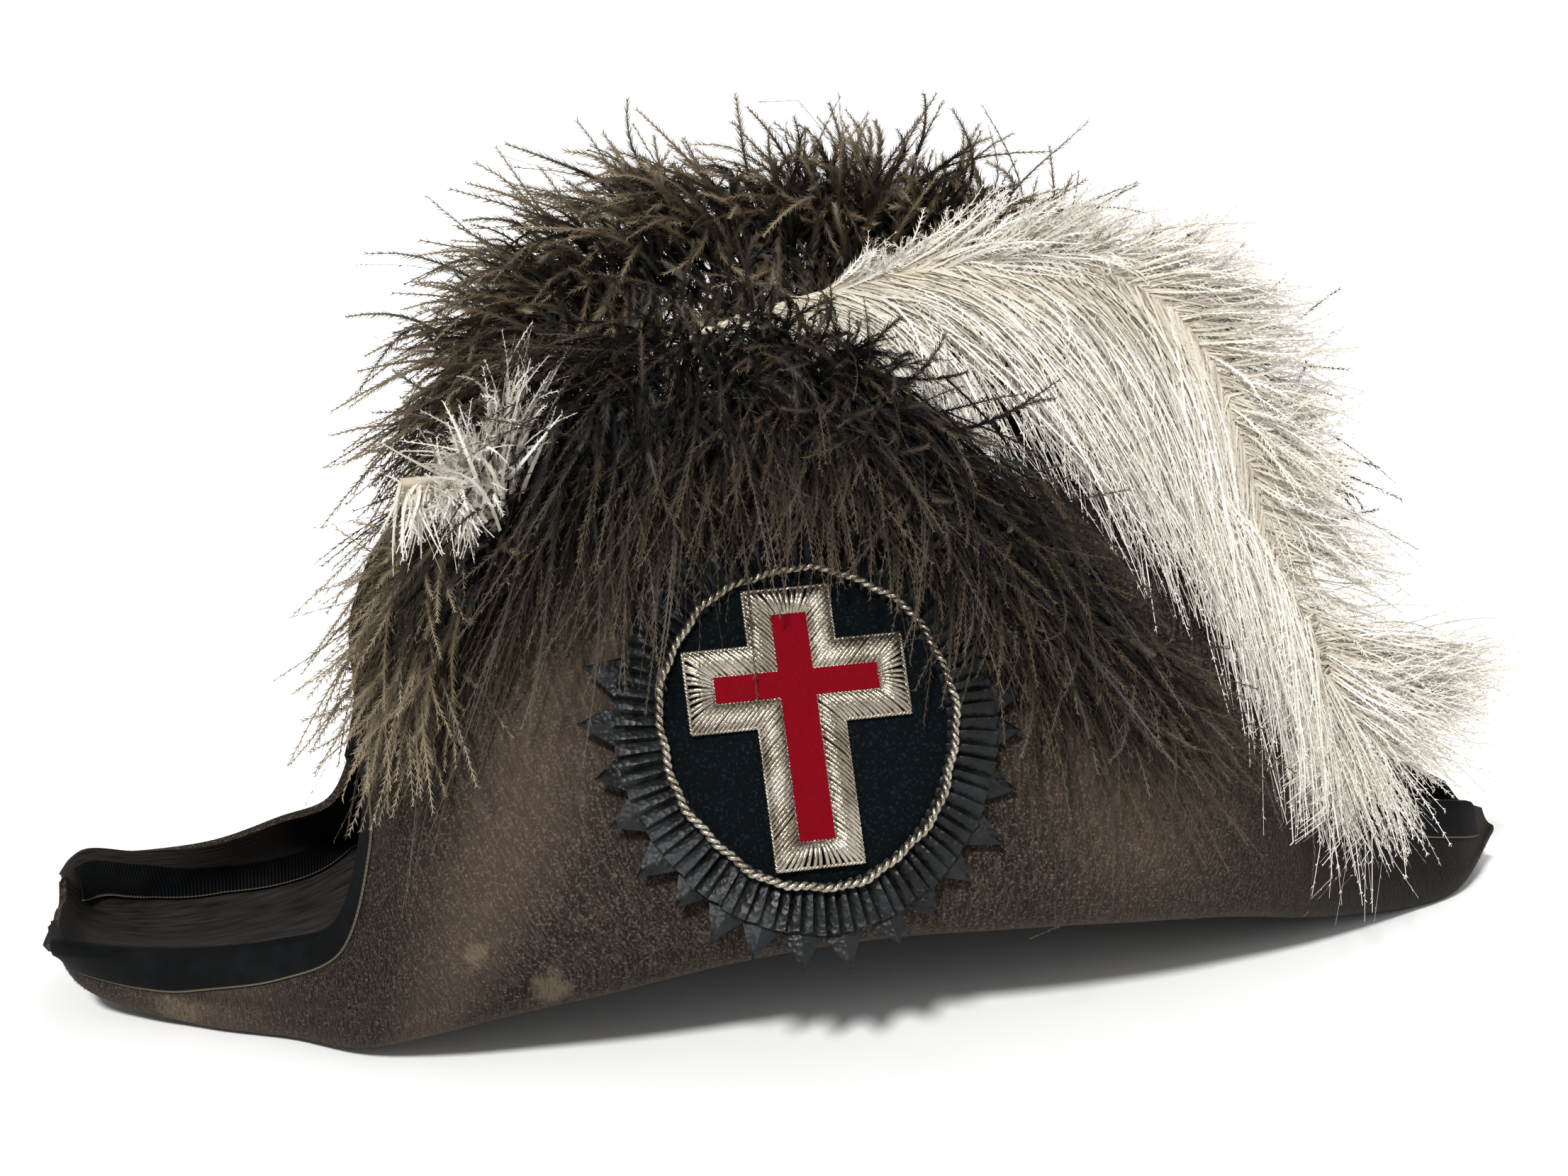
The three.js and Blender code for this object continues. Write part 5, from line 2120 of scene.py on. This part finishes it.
EDGE_VANES = [
    [
        [0.0, -34, -8, -6, 16],
        [0.4, -32, -10, -20, 14],
        [0.75, -24, -8, -27, 10],
        [1.0, -8, -6, -30, 8],
    ],
]
FAR_QUILL = [
    [-76, 26, 142],
    [-55, 38, 162],
    [-10, 46, 172],
    [40, 44, 177],
    [90, 38, 170],
    [128, 32, 146],
    [148, 30, 112],
]
FAR_VANES = [
    [
        [0.0, -34, 34, -36, 34],
        [0.15, -22, 36, -30, 42],
        [0.35, 2, 34, -24, 44],
        [0.55, 12, 32, -32, 44],
        [0.75, 18, 26, -40, 38],
        [1.0, 14, 14, -46, 24],
    ],
    [
        [0.0, -38, 16, 4, 18],
        [0.25, -16, 26, 22, 20],
        [0.5, 22, 16, 28, 14],
        [0.75, 44, 6, 24, 12],
        [0.9, 42, 4, 10, 14],
        [1.0, 32, 6, -14, 14],
    ],
]


# What each plume's barbs are like, where they differ from a plain one.
WHITE_LOOK = {"pairs": 2, "clump": 1.0, "loose": 2.4, "lengths": (0.6, 1.08), "half_width": 0.34}
WHITE_LOOK |= {"sweep": 0.25, "sway": 2.4, "fan": 500, "lowest": 13.0}
TUFT_LOOK = {"pairs": 2, "curl": 4.0, "lengths": (0.35, 1.0), "root_spread": 4.0, "half_width": 0.55}
COMB_LOOK = {"clump": 0.8, "loose": 1.6, "curl": 3.0, "lengths": (0.5, 1.0)}
DARK_LOOK = {"steps": 9, "pairs": 5, "half_width": 0.42, "barbule_width": 0.75, "forward": 2.3}
DARK_LOOK |= {"curl": 8.0, "clump": 0.75, "sway": 3.6}
CREST_LOOK = DARK_LOOK | {"lengths": (0.5, 0.94), "loose": 3.6, "root_spread": 6.0}
CREST_LOOK |= {"sweep": 0.3, "half_width": 0.56}
NEAR_LOOK = DARK_LOOK | {"lengths": (0.5, 1.0), "loose": 4.4, "root_spread": 6.0, "sweep": 0.5, "crowd": 1.1}
FROND_LOOK = DARK_LOOK | {"pairs": 6, "half_width": 0.44, "curl": 12.0, "sway": 5.0, "clump": 0.3}
FROND_LOOK |= {"loose": 7.0, "lengths": (0.5, 0.95), "root_spread": 7.0, "sweep": 0.4}
EDGE_LOOK = DARK_LOOK | {"lengths": (0.5, 1.05), "loose": 3.0, "root_spread": 4.0}
FAR_LOOK = DARK_LOOK | {"lengths": (0.5, 0.98), "loose": 4.0, "root_spread": 4.0, "sweep": 0.35}


def all_plumes(near: PlumeRoom, far: PlumeRoom) -> list[Plume]:
    """Lists the plumes.

    Args:
        near: what barbs on the badge side lie on.
        far: what barbs on the far side lie on.

    Returns:
        The plumes in the order that they are made.
    """
    white, black = Plumage.WHITE, Plumage.BLACK
    return [
        Plume(
            "white_plume", "plume_white", white, WHITE_BARBS, WHITE_QUILL, WHITE_VANES,
            barbs=(1400, 2200), locks=46, fluff=5.0, barbule=2.6, seed=21, **WHITE_LOOK, keep_out=near,
        ),
        Plume(
            "white_tuft", "", white, WHITE_BARBS, TUFT_QUILL, TUFT_VANES,
            barbs=(280,), locks=12, fluff=4.0, barbule=2.4, seed=25, **TUFT_LOOK,
        ),
        Plume(
            "white_comb", "", white, WHITE_BARBS, COMB_QUILL, COMB_VANES,
            barbs=(120,), locks=9, fluff=1.6, barbule=1.6, seed=26, **COMB_LOOK,
        ),
        Plume(
            "crest_plume", "plume_black_crest", black, BROWNED_AND_PAINTED_LIT_BARBS, CREST_QUILL, CREST_VANES,
            barbs=(620, 420, 660), locks=90, fluff=4.0, barbule=4.2, seed=22, **CREST_LOOK,
        ),
        Plume(
            "near_plume", "plume_black_near", black, BLACK_BARBS, NEAR_QUILL, NEAR_VANES,
            barbs=(1220, 660), locks=120, fluff=5.0, barbule=3.6, seed=23, **NEAR_LOOK, keep_out=near,
        ),
        Plume(
            "near_fronds", "", black, BLACK_BARBS, FROND_QUILL, FROND_VANES,
            barbs=(170, 110), locks=70, fluff=4.0, barbule=3.6, seed=27, **FROND_LOOK, keep_out=near,
        ),
        Plume(
            "edge_tuft", "", black, FADED_BARBS, EDGE_QUILL, EDGE_VANES,
            barbs=(300,), locks=34, fluff=3.0, barbule=4.0, seed=28, **EDGE_LOOK, keep_out=near,
        ),
        Plume(
            "far_plume", "plume_black_far", black, BLACK_BARBS, FAR_QUILL, FAR_VANES,
            barbs=(360, 460), locks=80, fluff=5.0, barbule=4.2, seed=24, **FAR_LOOK, keep_out=far,
        ),
    ]


@dataclass
class Stage:
    """The studio: a pale paper floor, soft lamps and the camera."""

    target: Point = (-4.4, 0.0, 100.3)
    distance: float = 737.0
    azimuth: float = -10.0
    elevation: float = 14.0
    roll: float = -1.4
    lens: float = 60.0
    sensor: float = 36.0
    floor_half: float = 40.0
    sun_from: Point = (-0.5, -1.0, 1.15)
    sun_power: float = 3.4
    sun_angle: float = 9.0
    room_power: float = 0.34
    lamp_target: Point = (0.0, 0.0, 0.08)
    # Each lamp's name, its place and size in metres, and its power.
    lamps: tuple[tuple[str, Point, float, float], ...] = (
        ("fill lamp", (1.4, -1.2, 0.9), 1.0, 6.0),
        ("back lamp", (0.5, 1.5, 1.4), 1.2, 9.0),
    )

    def camera(self) -> None:
        """Sets the camera at the photograph's angle."""
        a, e, r = (math.radians(v) for v in (self.azimuth, self.elevation, self.roll))
        back = Vector((math.sin(a) * math.cos(e), -math.cos(a) * math.cos(e), math.sin(e)))
        right = Vector((0, 0, 1)).cross(back).normalized()
        up = back.cross(right)
        turned = right * math.cos(r) + up * math.sin(r)
        raised = up * math.cos(r) - right * math.sin(r)
        data = bpy.data.cameras.new("camera")
        data.sensor_width, data.lens = self.sensor, self.lens
        camera = link("camera", data)
        spot = Vector(in_part(np.array(self.target))) + back * self.distance * MM
        axes = Matrix((turned, raised, back)).transposed()
        camera.matrix_world = Matrix.Translation(spot) @ axes.to_4x4()
        bpy.context.scene.camera = camera

    def floor(self) -> None:
        """Lays the paper floor."""
        piece = primitive("paper_floor", "grid", x_subdivisions=4, y_subdivisions=4, size=2 * self.floor_half)
        piece.data.materials.append(PaperFloor("studio paper").material())

    def light(self) -> None:
        """Hangs the lamps and lightens the room."""
        for name, place, size, power in self.lamps:
            data = bpy.data.lights.new(name, "AREA")
            data.energy, data.size = power, size
            lamp = link(name, data)
            lamp.location = place
            way = Vector(self.lamp_target) - Vector(place)
            lamp.rotation_euler = way.to_track_quat("-Z", "Y").to_euler()
        data = bpy.data.lights.new("key sun", "SUN")
        data.energy, data.angle = self.sun_power, math.radians(self.sun_angle)
        sun = link("key sun", data)
        sun.rotation_euler = (-Vector(self.sun_from)).to_track_quat("-Z", "Y").to_euler()
        world = bpy.data.worlds.new("studio")
        world.use_nodes = True
        room = next(node for node in world.node_tree.nodes if node.type == "BACKGROUND")
        room.inputs["Color"].default_value = linear("ffffff")
        room.inputs["Strength"].default_value = self.room_power
        bpy.context.scene.world = world
        bpy.context.scene.view_settings.view_transform = "Standard"


def main() -> None:
    """Builds the hat piece by piece, then the studio."""
    logging.basicConfig(level=logging.INFO, format="%(name)s %(message)s")
    stage = Stage()
    stage.camera()
    sheet = FeltSheet()
    felt = FeltBody(sheet)
    felt.brim()
    felt.crown()
    felt.nap()
    trim = RibbonTrim(sheet)
    for side in Side:
        trim.binding(side)
        trim.band(side)
    badge_frame = BadgeFrame()
    rosette = Rosette(badge_frame)
    rosette.corners()
    rosette.ruff()
    badge = Badge(badge_frame)
    badge.velvet()
    badge.cord()
    badge.bullion()
    badge.inlay()
    near_room = PlumeRoom(sheet, badge_frame, Side.NEAR)
    far_room = PlumeRoom(sheet, badge_frame, Side.FAR)
    for plume in all_plumes(near_room, far_room):
        plume.build()
    stage.floor()
    stage.light()


if __name__ == "__main__":
    main()
